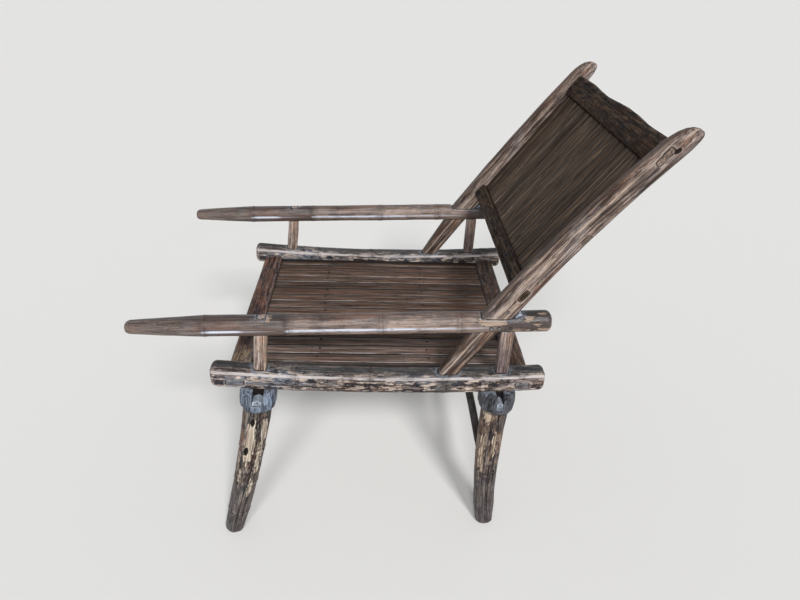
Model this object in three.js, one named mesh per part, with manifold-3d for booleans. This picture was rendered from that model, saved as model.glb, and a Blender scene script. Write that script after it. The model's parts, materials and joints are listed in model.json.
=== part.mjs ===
// Bamboo recliner with long arms and a back that lifts out.
//
// Millimetres, +Z up. The sitter faces -Y, and +X is the sitter's left. The origin is on the floor, in
// the middle of the chair's width and depth.
//
// Two sagging side rails carry everything. Crossrails are tenoned through them at the front and rear,
// and split-bamboo slats lie between the crossrails on two hidden battens. At each corner a flat post
// runs through the rail: its root sits in the hollow collar of a leg, where a key locks it, and its top
// is tenoned into the arm. The back is a frame of its own. Its stiles have a thinner foot that drops
// through a slot in the arm into a mortise in the rail, and a loose wedge fills the slot behind each one.

import * as THREE from 'three';
import { mergeVertices } from 'three/addons/utils/BufferGeometryUtils.js';
import Module from 'manifold-3d';

const wasm = await Module();
wasm.setup();

const degrees = THREE.MathUtils.degToRad;

// Fit of one piece in another, and how far a cut runs past the face that it opens.
const CLEARANCE = 0.3;
const OVERRUN = 60;

// Side rails: heavy culms that fall and sag towards the rear.
const RAIL_SPACING = 527;
const RAIL_LENGTH = 648;
const RAIL_FRONT_HEIGHT = 445;
const RAIL_FALL = 34.5;
const RAIL_SAG = 12;
const RAIL_LOW = 2;
const RAIL_WIDTH = 42;
const RAIL_DEPTH = 44;
const RAIL_NODE_SHARES = [0.25, 0.47, 0.7, 0.93];

// Crossrails. A front inset is measured from the front end of the side rails, and a rear inset or the
// back's own from their rear end.
const FRONT_CROSSRAIL_INSET = 47;
const REAR_CROSSRAIL_INSET = 44;
const CROSSRAIL_WIDTH = 44;
const CROSSRAIL_DEPTH = 27;
const CROSSRAIL_DROP = 15.5;
const FRONT_TENON_WIDTH = 36;
const REAR_TENON_WIDTH = 28;
const CROSS_TENON_DEPTH = 15;
const CROSS_TENON_LIFT = 5.5;
const SCRIBE_DEPTH = 4;

// Seat slats and the battens that they are pinned to.
const SEAT_SLAT_COUNT = 16;
const SLAT_GAP = 1.8;
const SLAT_THICKNESS = 7;
const SLAT_EDGE = 4.6;
const TONGUE_THICKNESS = 3.2;
const TONGUE_LENGTH = 8;
const SEAT_SURFACE_DROP = 8;
const FRONT_BATTEN_INSET = 198;
const REAR_BATTEN_INSET = 222;
const BATTEN_WIDTH = 24;
const BATTEN_DEPTH = 12;
const BATTEN_HOLD = 12;

// Arms: culms that reach well past the seat at the front and are whittled to a narrow tip.
const ARM_LENGTH = 786;
const ARM_TAIL = -1;
const ARM_RISE = 108.5;
const ARM_FALL = 12.5;
const ARM_WIDTH = 40;
const ARM_DEPTH = 38.5;
const ARM_TAPER = 142;
const ARM_TIP_DEPTH = 24;
const ARM_NODE_SHARES = [0.185, 0.38, 0.6, 0.785];

// Posts between rail and arm. An inset is where the post's middle crosses the rail.
const FRONT_POST_INSET = 93.5;
const REAR_POST_INSET = 84;
const FRONT_POST_LEAN = degrees(8.3);
const REAR_POST_LEAN = degrees(3);
const POST_WIDTH = 22;
const POST_DEPTH = 25;
const POST_ROOT = 34;
const POST_TENON_WIDTH = 14;
const POST_TENON_DEPTH = 15;
const BLIND_TENON = 10;

// Legs: culms cut just above the root, whose thick root ring is kept as a collar.
const COLLAR_DIAMETER = 74;
const COLLAR_HEIGHT = 48;
const LEG_TOP_DIAMETER = 57;
const LEG_FOOT_DIAMETER = 38.5;
const FRONT_LEG_SET = 3;
const FRONT_LEG_REACH = 109;
const FRONT_LEG_BOW = 2;
const REAR_LEG_SET = 1;
const REAR_LEG_REACH = 9.5;
const REAR_LEG_BOW = 8.5;
const LEG_CURVE = 1.3;
const REAR_GIRTH_SHARE = 0.96;
const FRONT_LEG_NODE_SHARES = [0.17, 0.4, 0.62];
const REAR_LEG_NODE_SHARES = [0.14, 0.35, 0.57];
const FRONT_KEY_WIDTH = 20;
const REAR_KEY_WIDTH = 14;
const KEY_HEIGHT = 14;
const KEY_PEAK = 5;
const NOTCH_DEPTH = 28;
const STRETCHER_HEIGHT = 148;
const STRETCHER_WIDTH = 18;
const STRETCHER_DEPTH = 24;
const STRETCHER_HOLD = 15;

// Back stiles. Their heights run along the stile, from the middle of the arm. A foot's front and rear are
// how far it reaches either way of that line: at its tip in the rail, at its neck under the arm, and above.
const BACK_INSET = 102;
const BACK_ANGLE = degrees(53);
const STILE_LENGTH = 465;
const STILE_WIDTH = 32;
const STILE_TOP_WIDTH = 28;
const STILE_DEPTH = 50;
const STILE_TOP_DEPTH = 41;
const STILE_REAR = 17.5;
const LEFT_STILE_SWEEP = 30;
const RIGHT_STILE_SWEEP = 15;
const STILE_TIP = 50;
const TIP_APEX_SHARE = 0.72;
const FOOT_WIDTH = 24;
const FOOT_TIP_FRONT = 17;
const FOOT_TIP_REAR = 13;
const FOOT_NECK_DROP = 20;
const FOOT_NECK_FRONT = 28;
const FOOT_NECK_REAR = 15.5;
const FOOT_TOP_FRONT = 31;
const FOOT_RELIEF = 0.3;
const FOOT_HOLD = 6;
const SADDLE_HEIGHT = 13;

// Loose wedges behind the stiles.
const WEDGE_TOP = 42;
const WEDGE_LENGTH = 29;
const WEDGE_THICKNESS = 8;
const WEDGE_TIP_THICKNESS = 4.5;
const WEDGE_TRAVEL = 50;

// Back panel: a rail at the bottom and the top, a batten halfway, and slats between the rails.
const BOTTOM_RAIL_HEIGHT = 75;
const BOTTOM_RAIL_SET = -2;
const TOP_RAIL_DROP = 65;
const TOP_RAIL_SET = 12;
const BOTTOM_RAIL_WIDTH = 34;
const TOP_RAIL_WIDTH = 51;
const BACK_RAIL_DEPTH = 23;
const TOP_RAIL_WAVE = 3;
const BOTTOM_TENON_WIDTH = 26;
const TOP_TENON_WIDTH = 36;
const BACK_TENON_DEPTH = 11;
const BACK_SLAT_COUNT = 16;
const BACK_SLAT_FACE = -4;
const BACK_BATTEN_HEIGHT = 146;
const BACK_BATTEN_WIDTH = 20;
const BACK_BATTEN_DEPTH = 10;

// Culm skin: how far a node stands out, how far it reaches along the culm, and how ends are eased.
const NODE_RISE = 1.3;
const NODE_REACH = 7;
const END_ROUND = 7;
const END_DROP_SHARE = 0.28;
const END_RING_SHARES = [0, 0.3, 1];
const SLAT_NODE_RISE = 0.7;

// How square a section is: 2 is an ellipse, and a high number is nearly a box.
const CULM_SQUARENESS = 2.3;
const RAIL_SQUARENESS = 3.8;
const STILE_SQUARENESS = 3.4;
const PLANK_SQUARENESS = 4;
const FOOT_SQUARENESS = 5;
const SAWN_SQUARENESS = 7;

// How a whittled end narrows: 1 is straight, and a lower number is fuller.
const ARM_TAPER_POWER = 0.8;
const TIP_POWER = 0.75;

// Points round a section, and rings along a piece.
const CULM_SIDES = 16;
const STILE_SIDES = 20;
const PLANK_SIDES = 12;
const RING_SPACING = 80;
const LEG_RINGS = 10;
const TIP_RINGS = 5;
const WAVE_STEPS = 10;
const CROWN_POINTS = 3;
const CROSSING_TURNS = 4;

const railOffset = RAIL_SPACING / 2;
const seatTilt = Math.asin(RAIL_FALL / RAIL_LENGTH);
const armTilt = Math.asin(ARM_FALL / ARM_LENGTH);
const armReach = ARM_LENGTH - RAIL_LENGTH - ARM_TAIL;

// Frames. Each is a group, so that a piece is placed by the frame that it belongs to.
const chair = new THREE.Group();

function addFrame(parent, y, z, tilt) {
  const frame = new THREE.Group();
  frame.position.set(0, y, z);
  frame.rotation.x = tilt;
  parent.add(frame);
  frame.updateWorldMatrix(true, false);
  return frame;
}

// Along +Y in the seat frame lies the straight line between the ends of the side rails.
const seatFrame = addFrame(chair, 0, RAIL_FRONT_HEIGHT, -seatTilt);

// Along +Y in the arm frame lies the middle of the arms, from their tips.
const armFrame = addFrame(chair, -armReach, RAIL_FRONT_HEIGHT + ARM_RISE, -armTilt);

// A rounded outline between an ellipse and a box.
function outline(width, depth, squareness, sides) {
  const points = [];
  for (let i = 0; i < sides; i += 1) {
    const angle = (2 * Math.PI * (i + 1 / 2)) / sides;
    const across = Math.sign(Math.cos(angle)) * Math.abs(Math.cos(angle)) ** (2 / squareness);
    const up = Math.sign(Math.sin(angle)) * Math.abs(Math.sin(angle)) ** (2 / squareness);
    points.push(new THREE.Vector2((width / 2) * across, (depth / 2) * up));
  }
  return points;
}

// A closed skin over rings with the same number of points, with a cap on the first and the last ring.
function skin(rings) {
  const sides = rings[0].length;
  const points = rings.flat();
  const faces = [];
  for (let r = 0; r + 1 < rings.length; r += 1) {
    for (let k = 0; k < sides; k += 1) {
      const here = r * sides + k;
      const beside = r * sides + ((k + 1) % sides);
      faces.push(here, beside, beside + sides);
      faces.push(here, beside + sides, here + sides);
    }
  }
  const last = (rings.length - 1) * sides;
  for (let k = 1; k + 1 < sides; k += 1) {
    faces.push(0, k + 1, k);
    faces.push(last, last + k, last + k + 1);
  }
  let volume = 0;
  for (let i = 0; i < faces.length; i += 3) {
    const [a, b, c] = [points[faces[i]], points[faces[i + 1]], points[faces[i + 2]]];
    volume += a.dot(new THREE.Vector3().crossVectors(b, c));
  }
  if (volume < 0) {
    faces.reverse();
  }
  const geometry = new THREE.BufferGeometry().setFromPoints(points);
  geometry.setIndex(faces);
  return geometry;
}

// Puts a point of a section, at a place along a bar, on the bar's own axis.
const onAxis = {
  x: (place, across, up) => new THREE.Vector3(place, across, up),
  y: (place, across, up) => new THREE.Vector3(across, place, up),
  z: (place, across, up) => new THREE.Vector3(across, up, place),
};

// A bar through a row of sections. Each gives its place, width and depth, and where its middle lies.
function bar(axis, sections, squareness, sides) {
  const rings = sections.map((section) => {
    const points = outline(section.width, section.depth, squareness, sides);
    const across = section.across ?? 0;
    const up = section.up ?? 0;
    return points.map((p) => onAxis[axis](section.place, across + p.x, up + p.y));
  });
  return skin(rings);
}

// A plain straight bar between two places.
function straightBar(axis, start, end, section, squareness, sides) {
  const ends = [start, end].map((place) => ({ ...section, place }));
  return bar(axis, ends, squareness, sides);
}

function block(low, high) {
  const size = new THREE.Vector3().subVectors(high, low);
  const middle = new THREE.Vector3().addVectors(low, high).divideScalar(2);
  return new THREE.BoxGeometry(size.x, size.y, size.z).translate(middle.x, middle.y, middle.z);
}

// Places along a culm that need a ring: both eased ends, evenly between them, and three at each node.
function culmPlaces(start, end, nodes) {
  const places = [];
  const steps = Math.ceil((end - start) / RING_SPACING);
  for (let i = 1; i < steps; i += 1) {
    const place = start + ((end - start) * i) / steps;
    if (nodes.every((node) => Math.abs(place - node) > 2 * NODE_REACH)) {
      places.push(place);
    }
  }
  for (const node of nodes) {
    places.push(node - NODE_REACH, node, node + NODE_REACH);
  }
  for (const share of END_RING_SHARES) {
    places.push(start + share * END_ROUND, end - share * END_ROUND);
  }
  return places.sort((a, b) => a - b);
}

// How far a node stands out at a place along the culm.
function nodeSwell(place, nodes) {
  const nearest = Math.min(...nodes.map((node) => Math.abs(place - node)));
  return Math.max(0, 1 - nearest / NODE_REACH) * NODE_RISE;
}

// The share of its full section that a culm keeps near an eased end.
function endShare(place, start, end) {
  const inside = Math.min(place - start, end - place);
  const near = Math.max(0, 1 - inside / END_ROUND);
  return 1 - END_DROP_SHARE * near ** 2;
}

// Geometry brought from a frame into the chair's own frame, where pieces are cut and joined.
function placed(geometry, frame) {
  return geometry.applyMatrix4(frame.matrixWorld);
}

function toSolid(geometry) {
  const bare = geometry.clone();
  bare.deleteAttribute('normal');
  bare.deleteAttribute('uv');
  const merged = mergeVertices(bare);
  return new wasm.Manifold(new wasm.Mesh({
    numProp: 3,
    vertProperties: new Float32Array(merged.attributes.position.array),
    triVerts: new Uint32Array(merged.index.array),
  }));
}

function toGeometry(solid) {
  const mesh = solid.getMesh();
  const geometry = new THREE.BufferGeometry();
  geometry.setAttribute('position', new THREE.BufferAttribute(mesh.vertProperties, 3));
  geometry.setIndex(new THREE.BufferAttribute(mesh.triVerts, 1));
  return geometry;
}

function cut(geometry, ...cutters) {
  return toGeometry(cutters.reduce((solid, cutter) => solid.subtract(toSolid(cutter)), toSolid(geometry)));
}

function join(geometry, ...others) {
  return toGeometry(others.reduce((solid, other) => solid.add(toSolid(other)), toSolid(geometry)));
}

// A tenon trimmed flush with its host: what its outer part shows outside the host is cut away.
function flush(tenon, outerPart, host) {
  return cut(tenon, cut(outerPart, host));
}

// A finished piece, hung in its own frame.
function addPiece(frame, name, geometry, material) {
  const local = geometry.clone().applyMatrix4(frame.matrixWorld.clone().invert());
  local.computeVertexNormals();
  const mesh = new THREE.Mesh(local, material);
  mesh.name = name;
  frame.add(mesh);
}

const finishes = {
  rail: new THREE.MeshStandardMaterial({ color: 0x3b322d, roughness: 0.55, metalness: 0 }),
  crossrail: new THREE.MeshStandardMaterial({ color: 0x4a3028, roughness: 0.6, metalness: 0 }),
  seatSlat: new THREE.MeshStandardMaterial({ color: 0x554a42, roughness: 0.65, metalness: 0 }),
  batten: new THREE.MeshStandardMaterial({ color: 0x44392f, roughness: 0.8, metalness: 0 }),
  arm: new THREE.MeshStandardMaterial({ color: 0x57463c, roughness: 0.4, metalness: 0 }),
  post: new THREE.MeshStandardMaterial({ color: 0x7a6252, roughness: 0.6, metalness: 0 }),
  leg: new THREE.MeshStandardMaterial({ color: 0x4d3f36, roughness: 0.6, metalness: 0 }),
  key: new THREE.MeshStandardMaterial({ color: 0x8b98a4, roughness: 0.85, metalness: 0 }),
  stile: new THREE.MeshStandardMaterial({ color: 0x80695a, roughness: 0.45, metalness: 0 }),
  backRail: new THREE.MeshStandardMaterial({ color: 0x3a2e27, roughness: 0.6, metalness: 0 }),
  backSlat: new THREE.MeshStandardMaterial({ color: 0x4d443c, roughness: 0.65, metalness: 0 }),
};

const sides = [
  { name: 'left', sign: 1, x: railOffset, sweep: LEFT_STILE_SWEEP },
  { name: 'right', sign: -1, x: -railOffset, sweep: RIGHT_STILE_SWEEP },
];

// How far the rail's middle hangs below the straight line between its ends.
function railSag(place) {
  const fromMiddle = (2 * place) / RAIL_LENGTH - 1;
  return -RAIL_LOW - RAIL_SAG * (1 - fromMiddle ** 2);
}

// Distance along a direction, from a point in the seat frame, to the sagging middle of the rail.
function distanceToRail(start, direction) {
  let distance = 0;
  for (let turn = 0; turn < CROSSING_TURNS; turn += 1) {
    distance = (railSag(start.y + distance * direction.y) - start.z) / direction.z;
  }
  return distance;
}

// The same, for a point and direction on a frame's own Z axis, downwards.
function dropToRail(frame) {
  const start = seatFrame.worldToLocal(frame.localToWorld(new THREE.Vector3()));
  const below = seatFrame.worldToLocal(frame.localToWorld(new THREE.Vector3(0, 0, -1)));
  return distanceToRail(start, below.sub(start));
}

// Seat rails.
const railNodes = RAIL_NODE_SHARES.map((share) => share * RAIL_LENGTH);

function railBody(side, grow) {
  const sections = culmPlaces(0, RAIL_LENGTH, railNodes).map((place) => {
    const share = endShare(place, 0, RAIL_LENGTH);
    const swell = 2 * nodeSwell(place, railNodes) + 2 * grow;
    const width = RAIL_WIDTH * share + swell;
    const depth = RAIL_DEPTH * share + swell;
    return { place, width, depth, across: side.x, up: railSag(place) };
  });
  return placed(bar('y', sections, RAIL_SQUARENESS, CULM_SIDES), seatFrame);
}

// The flat-bottomed space that the rail takes above a leg.
function railSeat(side) {
  const half = COLLAR_DIAMETER;
  const rings = culmPlaces(0, RAIL_LENGTH, railNodes).map((place) => {
    const low = railSag(place) - RAIL_DEPTH / 2 - nodeSwell(place, railNodes) - CLEARANCE;
    const corners = [[-half, low], [half, low], [half, low + OVERRUN], [-half, low + OVERRUN]];
    return corners.map(([across, up]) => new THREE.Vector3(side.x + across, place, up));
  });
  return placed(skin(rings), seatFrame);
}

// Crossrails, in the seat frame.
const crossrails = [
  { name: 'front', place: FRONT_CROSSRAIL_INSET, inner: 1, tenon: FRONT_TENON_WIDTH },
  { name: 'rear', place: RAIL_LENGTH - REAR_CROSSRAIL_INSET, inner: -1, tenon: REAR_TENON_WIDTH },
];

function crossTenon(rail, side, start, end, grow) {
  const section = {
    width: rail.tenon + 2 * grow,
    depth: CROSS_TENON_DEPTH + 2 * grow,
    across: rail.place,
    up: CROSS_TENON_LIFT - CROSSRAIL_DROP,
  };
  const ends = [side.sign * start, side.sign * end];
  return placed(straightBar('x', ...ends, section, SAWN_SQUARENESS, PLANK_SIDES), seatFrame);
}

const slatUnderside = -SEAT_SURFACE_DROP - SLAT_THICKNESS;
const innerEdge = CROSSRAIL_WIDTH / 2 - TONGUE_LENGTH;

// The groove that takes the tongues of the slats, along the inner edge of a crossrail.
function seatGroove(rail) {
  const reach = railOffset - RAIL_WIDTH / 2;
  const inner = rail.place + rail.inner * (innerEdge - CLEARANCE);
  const outer = inner + rail.inner * OVERRUN;
  const tongueTop = slatUnderside + TONGUE_THICKNESS;
  const low = new THREE.Vector3(-reach, Math.min(inner, outer), slatUnderside - CLEARANCE);
  const high = new THREE.Vector3(reach, Math.max(inner, outer), tongueTop + CLEARANCE);
  return placed(block(low, high), seatFrame);
}

function crossrailBody(rail, grow) {
  const section = {
    width: CROSSRAIL_WIDTH + 2 * grow,
    depth: CROSSRAIL_DEPTH + 2 * grow,
    across: rail.place,
    up: -CROSSRAIL_DROP,
  };
  const reach = railOffset - RAIL_WIDTH / 2 + SCRIBE_DEPTH;
  return placed(straightBar('x', -reach, reach, section, PLANK_SQUARENESS, CULM_SIDES), seatFrame);
}

function crossrail(rail) {
  const scribed = cut(crossrailBody(rail, 0), ...sides.map((side) => railBody(side, CLEARANCE)));
  const tenons = sides.map((side) => {
    const start = railOffset - RAIL_WIDTH;
    const long = crossTenon(rail, side, start, railOffset + RAIL_WIDTH, 0);
    const outer = crossTenon(rail, side, railOffset, railOffset + OVERRUN, CLEARANCE);
    return flush(long, outer, railBody(side, 0));
  });
  return cut(join(scribed, ...tenons), seatGroove(rail));
}

// Battens under the seat slats.
const battens = [
  { name: 'front', place: FRONT_BATTEN_INSET },
  { name: 'rear', place: RAIL_LENGTH - REAR_BATTEN_INSET },
];

function battenBody(batten, grow) {
  const reach = railOffset - RAIL_WIDTH / 2 + BATTEN_HOLD + grow;
  const section = {
    width: BATTEN_WIDTH + 2 * grow,
    depth: BATTEN_DEPTH + 2 * grow,
    across: batten.place,
    up: slatUnderside - CLEARANCE - BATTEN_DEPTH / 2,
  };
  return placed(straightBar('x', -reach, reach, section, SAWN_SQUARENESS, PLANK_SIDES), seatFrame);
}

// A split-bamboo slat: a flat underside and a crowned skin, with a low node and a tongue at each end.
// Its own axes are the place along it, across it, and up from its underside.
function slatRings(start, end, width, nodeShare) {
  const node = start + nodeShare * (end - start);
  const full = { edge: SLAT_EDGE, crown: SLAT_THICKNESS };
  const tongue = { edge: TONGUE_THICKNESS, crown: TONGUE_THICKNESS };
  const raised = { edge: SLAT_EDGE + SLAT_NODE_RISE, crown: SLAT_THICKNESS + SLAT_NODE_RISE };
  const stations = [
    [start - TONGUE_LENGTH, tongue],
    [start, tongue],
    [start + SLAT_GAP, full],
    [node - NODE_REACH, full],
    [node, raised],
    [node + NODE_REACH, full],
    [end - SLAT_GAP, full],
    [end, tongue],
    [end + TONGUE_LENGTH, tongue],
  ];
  return stations.map(([place, height]) => {
    const ring = [[-width / 2, 0], [width / 2, 0]];
    for (let k = 0; k <= CROWN_POINTS + 1; k += 1) {
      const share = 1 - (2 * k) / (CROWN_POINTS + 1);
      ring.push([(share * width) / 2, height.edge + (height.crown - height.edge) * (1 - share ** 2)]);
    }
    return ring.map(([across, up]) => ({ place, across, up }));
  });
}

// Nodes of neighbouring slats never line up.
function slatNodeShare(index) {
  const goldenShare = 0.618;
  const lowestShare = 0.2;
  const spreadShare = 0.6;
  return lowestShare + spreadShare * ((index * goldenShare) % 1);
}

function seatSlat(index) {
  const clear = RAIL_SPACING - RAIL_WIDTH - SLAT_GAP;
  const pitch = clear / SEAT_SLAT_COUNT;
  const middle = (index + 1 / 2) * pitch - clear / 2;
  const start = crossrails[0].place + CROSSRAIL_WIDTH / 2 + CLEARANCE;
  const end = crossrails[1].place - CROSSRAIL_WIDTH / 2 - CLEARANCE;
  const rings = slatRings(start, end, pitch - SLAT_GAP, slatNodeShare(index));
  const points = rings.map((ring) => ring.map((p) => (
    new THREE.Vector3(middle + p.across, p.place, slatUnderside + p.up))));
  return placed(skin(points), seatFrame);
}

// Arms.
const armNodes = ARM_NODE_SHARES.map((share) => share * ARM_LENGTH);

function armBody(side, grow) {
  const places = [...culmPlaces(0, ARM_LENGTH, armNodes), ARM_TAPER / 2];
  const sections = places.sort((a, b) => a - b).map((place) => {
    const taper = Math.min(1, place / ARM_TAPER) ** ARM_TAPER_POWER;
    const slimShare = (ARM_TIP_DEPTH + (ARM_DEPTH - ARM_TIP_DEPTH) * taper) / ARM_DEPTH;
    const share = slimShare * endShare(place, 0, ARM_LENGTH);
    const swell = 2 * nodeSwell(place, armNodes) + 2 * grow;
    return { place, width: ARM_WIDTH * share + swell, depth: ARM_DEPTH * share + swell, across: side.x };
  });
  return placed(bar('y', sections, CULM_SQUARENESS, CULM_SIDES), armFrame);
}

// Posts. Each has a frame whose origin is where the post's middle crosses the rail's.
function postFrame(place, lean) {
  const frame = addFrame(chair, place, RAIL_FRONT_HEIGHT, -lean);
  frame.translateZ(-dropToRail(frame));
  frame.updateWorldMatrix(true, false);
  return frame;
}

const corners = [
  {
    name: 'front',
    crossrail: crossrails[0],
    frame: postFrame(FRONT_POST_INSET, FRONT_POST_LEAN),
    through: true,
    set: FRONT_LEG_SET,
    reach: FRONT_LEG_REACH,
    bow: FRONT_LEG_BOW,
    girthShare: 1,
    nodeShares: FRONT_LEG_NODE_SHARES,
    keyWidth: FRONT_KEY_WIDTH,
  },
  {
    name: 'rear',
    crossrail: crossrails[1],
    frame: postFrame(RAIL_LENGTH - REAR_POST_INSET, REAR_POST_LEAN),
    through: false,
    set: REAR_LEG_SET,
    reach: REAR_LEG_REACH,
    bow: REAR_LEG_BOW,
    girthShare: REAR_GIRTH_SHARE,
    nodeShares: REAR_LEG_NODE_SHARES,
    keyWidth: REAR_KEY_WIDTH,
  },
];

// Height of the arm's middle above a corner's post frame, along the post.
function armRise(corner) {
  const base = armFrame.worldToLocal(corner.frame.localToWorld(new THREE.Vector3()));
  const above = armFrame.worldToLocal(corner.frame.localToWorld(new THREE.Vector3(0, 0, 1)));
  return -base.z / (above.z - base.z);
}

const rootDepth = RAIL_DEPTH / 2 + POST_ROOT;

function postBar(corner, side, width, depth, start, end, grow) {
  const section = { width: width + 2 * grow, depth: depth + 2 * grow, across: side.x };
  return placed(straightBar('z', start, end, section, SAWN_SQUARENESS, PLANK_SIDES), corner.frame);
}

function postBody(corner, side, grow) {
  return postBar(corner, side, POST_WIDTH, POST_DEPTH, -rootDepth - grow, armRise(corner), grow);
}

function postTenon(corner, side, grow) {
  const rise = armRise(corner);
  const blindTop = rise - ARM_DEPTH / 2 + BLIND_TENON + grow;
  const top = corner.through ? rise + OVERRUN : blindTop;
  return postBar(corner, side, POST_TENON_WIDTH, POST_TENON_DEPTH, rise - ARM_DEPTH, top, grow);
}

function post(corner, side) {
  const shouldered = cut(postBody(corner, side, 0), armBody(side, CLEARANCE));
  let tenon = postTenon(corner, side, 0);
  if (corner.through) {
    const rise = armRise(corner);
    const outer = postBar(corner, side, POST_WIDTH, POST_DEPTH, rise, rise + 2 * OVERRUN, 0);
    tenon = flush(tenon, outer, armBody(side, 0));
  }
  return join(shouldered, tenon);
}

// Legs. A leg's middle runs from under the rail to the floor, and its foot comes forward on a curve.
function legTop(corner) {
  return new THREE.Vector3(0, 0, -RAIL_DEPTH / 2).applyMatrix4(corner.frame.matrixWorld);
}

function legMiddle(corner, height) {
  const top = legTop(corner);
  const fallShare = Math.max(0, 1 - height / top.z);
  const forward = corner.reach * fallShare ** LEG_CURVE + corner.bow * Math.sin(Math.PI * fallShare);
  return top.y - corner.set - forward;
}

// The collar's outline: shares of its height from the top down, each with a share of its diameter.
const COLLAR_SHARES = [[0, 0.91], [0.2, 0.97], [0.5, 1], [0.8, 0.97], [0.95, 0.87]];

function legSections(corner) {
  const top = legTop(corner).z;
  const neck = top - COLLAR_HEIGHT;
  const sections = [{ height: top + RAIL_DEPTH / 2, diameter: COLLAR_DIAMETER * COLLAR_SHARES[0][1] }];
  for (const [fallShare, share] of COLLAR_SHARES) {
    sections.push({ height: top - fallShare * COLLAR_HEIGHT, diameter: share * COLLAR_DIAMETER });
  }
  const nodes = corner.nodeShares.map((share) => share * top);
  const heights = nodes.flatMap((node) => [node + NODE_REACH, node, node - NODE_REACH]);
  for (let i = 0; i < LEG_RINGS; i += 1) {
    const height = neck - ((neck - END_ROUND) * i) / (LEG_RINGS - 1);
    if (nodes.every((node) => Math.abs(height - node) > 2 * NODE_REACH)) {
      heights.push(height);
    }
  }
  heights.push(END_RING_SHARES[1] * END_ROUND, 0, -LEG_FOOT_DIAMETER);
  for (const height of heights.sort((a, b) => b - a)) {
    const raised = Math.max(0, height);
    const plain = LEG_FOOT_DIAMETER + (LEG_TOP_DIAMETER - LEG_FOOT_DIAMETER) * Math.sqrt(raised / neck);
    const girth = plain * corner.girthShare * endShare(raised, 0, top);
    sections.push({ height, diameter: girth + 2 * nodeSwell(height, nodes) });
  }
  return sections;
}

function legBody(corner, side) {
  const rings = legSections(corner).map(({ height, diameter }) => {
    const middle = legMiddle(corner, height);
    const ahead = legMiddle(corner, height + NODE_REACH);
    const slope = Math.atan2(ahead - middle, NODE_REACH);
    return outline(diameter, diameter, CULM_SQUARENESS, CULM_SIDES).map((p) => new THREE.Vector3(
      side.x + p.x,
      middle + p.y * Math.cos(slope),
      height - p.y * Math.sin(slope),
    ));
  });
  return skin(rings);
}

// The notch in the outer wall of the collar, and the peaked key that fills its lower part.
function keyShape(corner, side, start, end, width, low, high, peak) {
  const shape = new THREE.Shape();
  shape.moveTo(-width / 2, low);
  shape.lineTo(width / 2, low);
  shape.lineTo(width / 2, high - peak);
  shape.lineTo(0, high);
  shape.lineTo(-width / 2, high - peak);
  shape.closePath();
  const geometry = new THREE.ExtrudeGeometry(shape, { depth: end - start, bevelEnabled: false });
  geometry.rotateX(Math.PI / 2).rotateZ(Math.PI / 2);
  if (side.sign < 0) {
    geometry.rotateZ(Math.PI);
  }
  geometry.translate(side.x + side.sign * start, 0, 0);
  return placed(geometry, corner.frame);
}

const notchFloor = -RAIL_DEPTH / 2 - NOTCH_DEPTH;

function keyNotch(corner, side) {
  const width = corner.keyWidth + 2 * CLEARANCE;
  const low = notchFloor - CLEARANCE;
  return keyShape(corner, side, 0, COLLAR_DIAMETER, width, low, low + OVERRUN, 0);
}

function legKey(corner, side) {
  const start = POST_WIDTH / 2 + CLEARANCE;
  const end = COLLAR_DIAMETER / 2 - END_ROUND / 2;
  const high = notchFloor + KEY_HEIGHT;
  const shape = keyShape(corner, side, start, end, corner.keyWidth, notchFloor, high, KEY_PEAK);
  return toGeometry(toSolid(shape));
}

// The stretcher between the rear legs.
const rearCorner = corners[1];

function stretcherBody(grow) {
  const reach = railOffset - STRETCHER_HOLD + LEG_FOOT_DIAMETER / 2 - STRETCHER_HOLD + grow;
  const section = {
    width: STRETCHER_WIDTH + 2 * grow,
    depth: STRETCHER_DEPTH + 2 * grow,
    across: legMiddle(rearCorner, STRETCHER_HEIGHT),
    up: STRETCHER_HEIGHT,
  };
  return straightBar('x', -reach, reach, section, PLANK_SQUARENESS, PLANK_SIDES);
}

function leg(corner, side) {
  const floor = block(
    new THREE.Vector3(-RAIL_SPACING, -RAIL_LENGTH, -OVERRUN * 2),
    new THREE.Vector3(RAIL_SPACING, 2 * RAIL_LENGTH, 0),
  );
  const cutters = [
    floor,
    railSeat(side),
    crossrailBody(corner.crossrail, CLEARANCE),
    postBody(corner, side, CLEARANCE),
    keyNotch(corner, side),
  ];
  if (corner === rearCorner) {
    cutters.push(stretcherBody(CLEARANCE));
  }
  return cut(legBody(corner, side), ...cutters);
}

// Back frame. Its origin is in the middle of the arm, +Z runs up the stile and +Y is its rear.
const armAtBack = new THREE.Vector3(0, (RAIL_LENGTH - BACK_INSET + armReach) / Math.cos(armTilt), 0);
armAtBack.applyMatrix4(armFrame.matrixWorld);
const backFrame = addFrame(chair, armAtBack.y, armAtBack.z, BACK_ANGLE - Math.PI / 2);
const footReach = dropToRail(backFrame);
const sweepStart = WEDGE_TOP + WEDGE_TRAVEL;

// How far a stile has swept rearwards at a height.
function stileSweep(side, height) {
  const share = Math.max(0, height - sweepStart) / (STILE_LENGTH - sweepStart);
  return side.sweep * share ** 2;
}

// The rounded tip closes towards a point nearer to the stile's rear than to its front.
function stileSection(side, height, roundShare, grow) {
  const share = Math.max(0, height) / STILE_LENGTH;
  const width = STILE_WIDTH + (STILE_TOP_WIDTH - STILE_WIDTH) * share;
  const depth = STILE_DEPTH + (STILE_TOP_DEPTH - STILE_DEPTH) * share;
  const apex = (TIP_APEX_SHARE - 1 / 2) * depth * (1 - roundShare);
  return {
    place: height,
    width: width * roundShare + 2 * grow,
    depth: depth * roundShare + 2 * grow,
    across: side.x,
    up: stileSweep(side, height) + STILE_REAR - depth / 2 + apex,
  };
}

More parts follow.
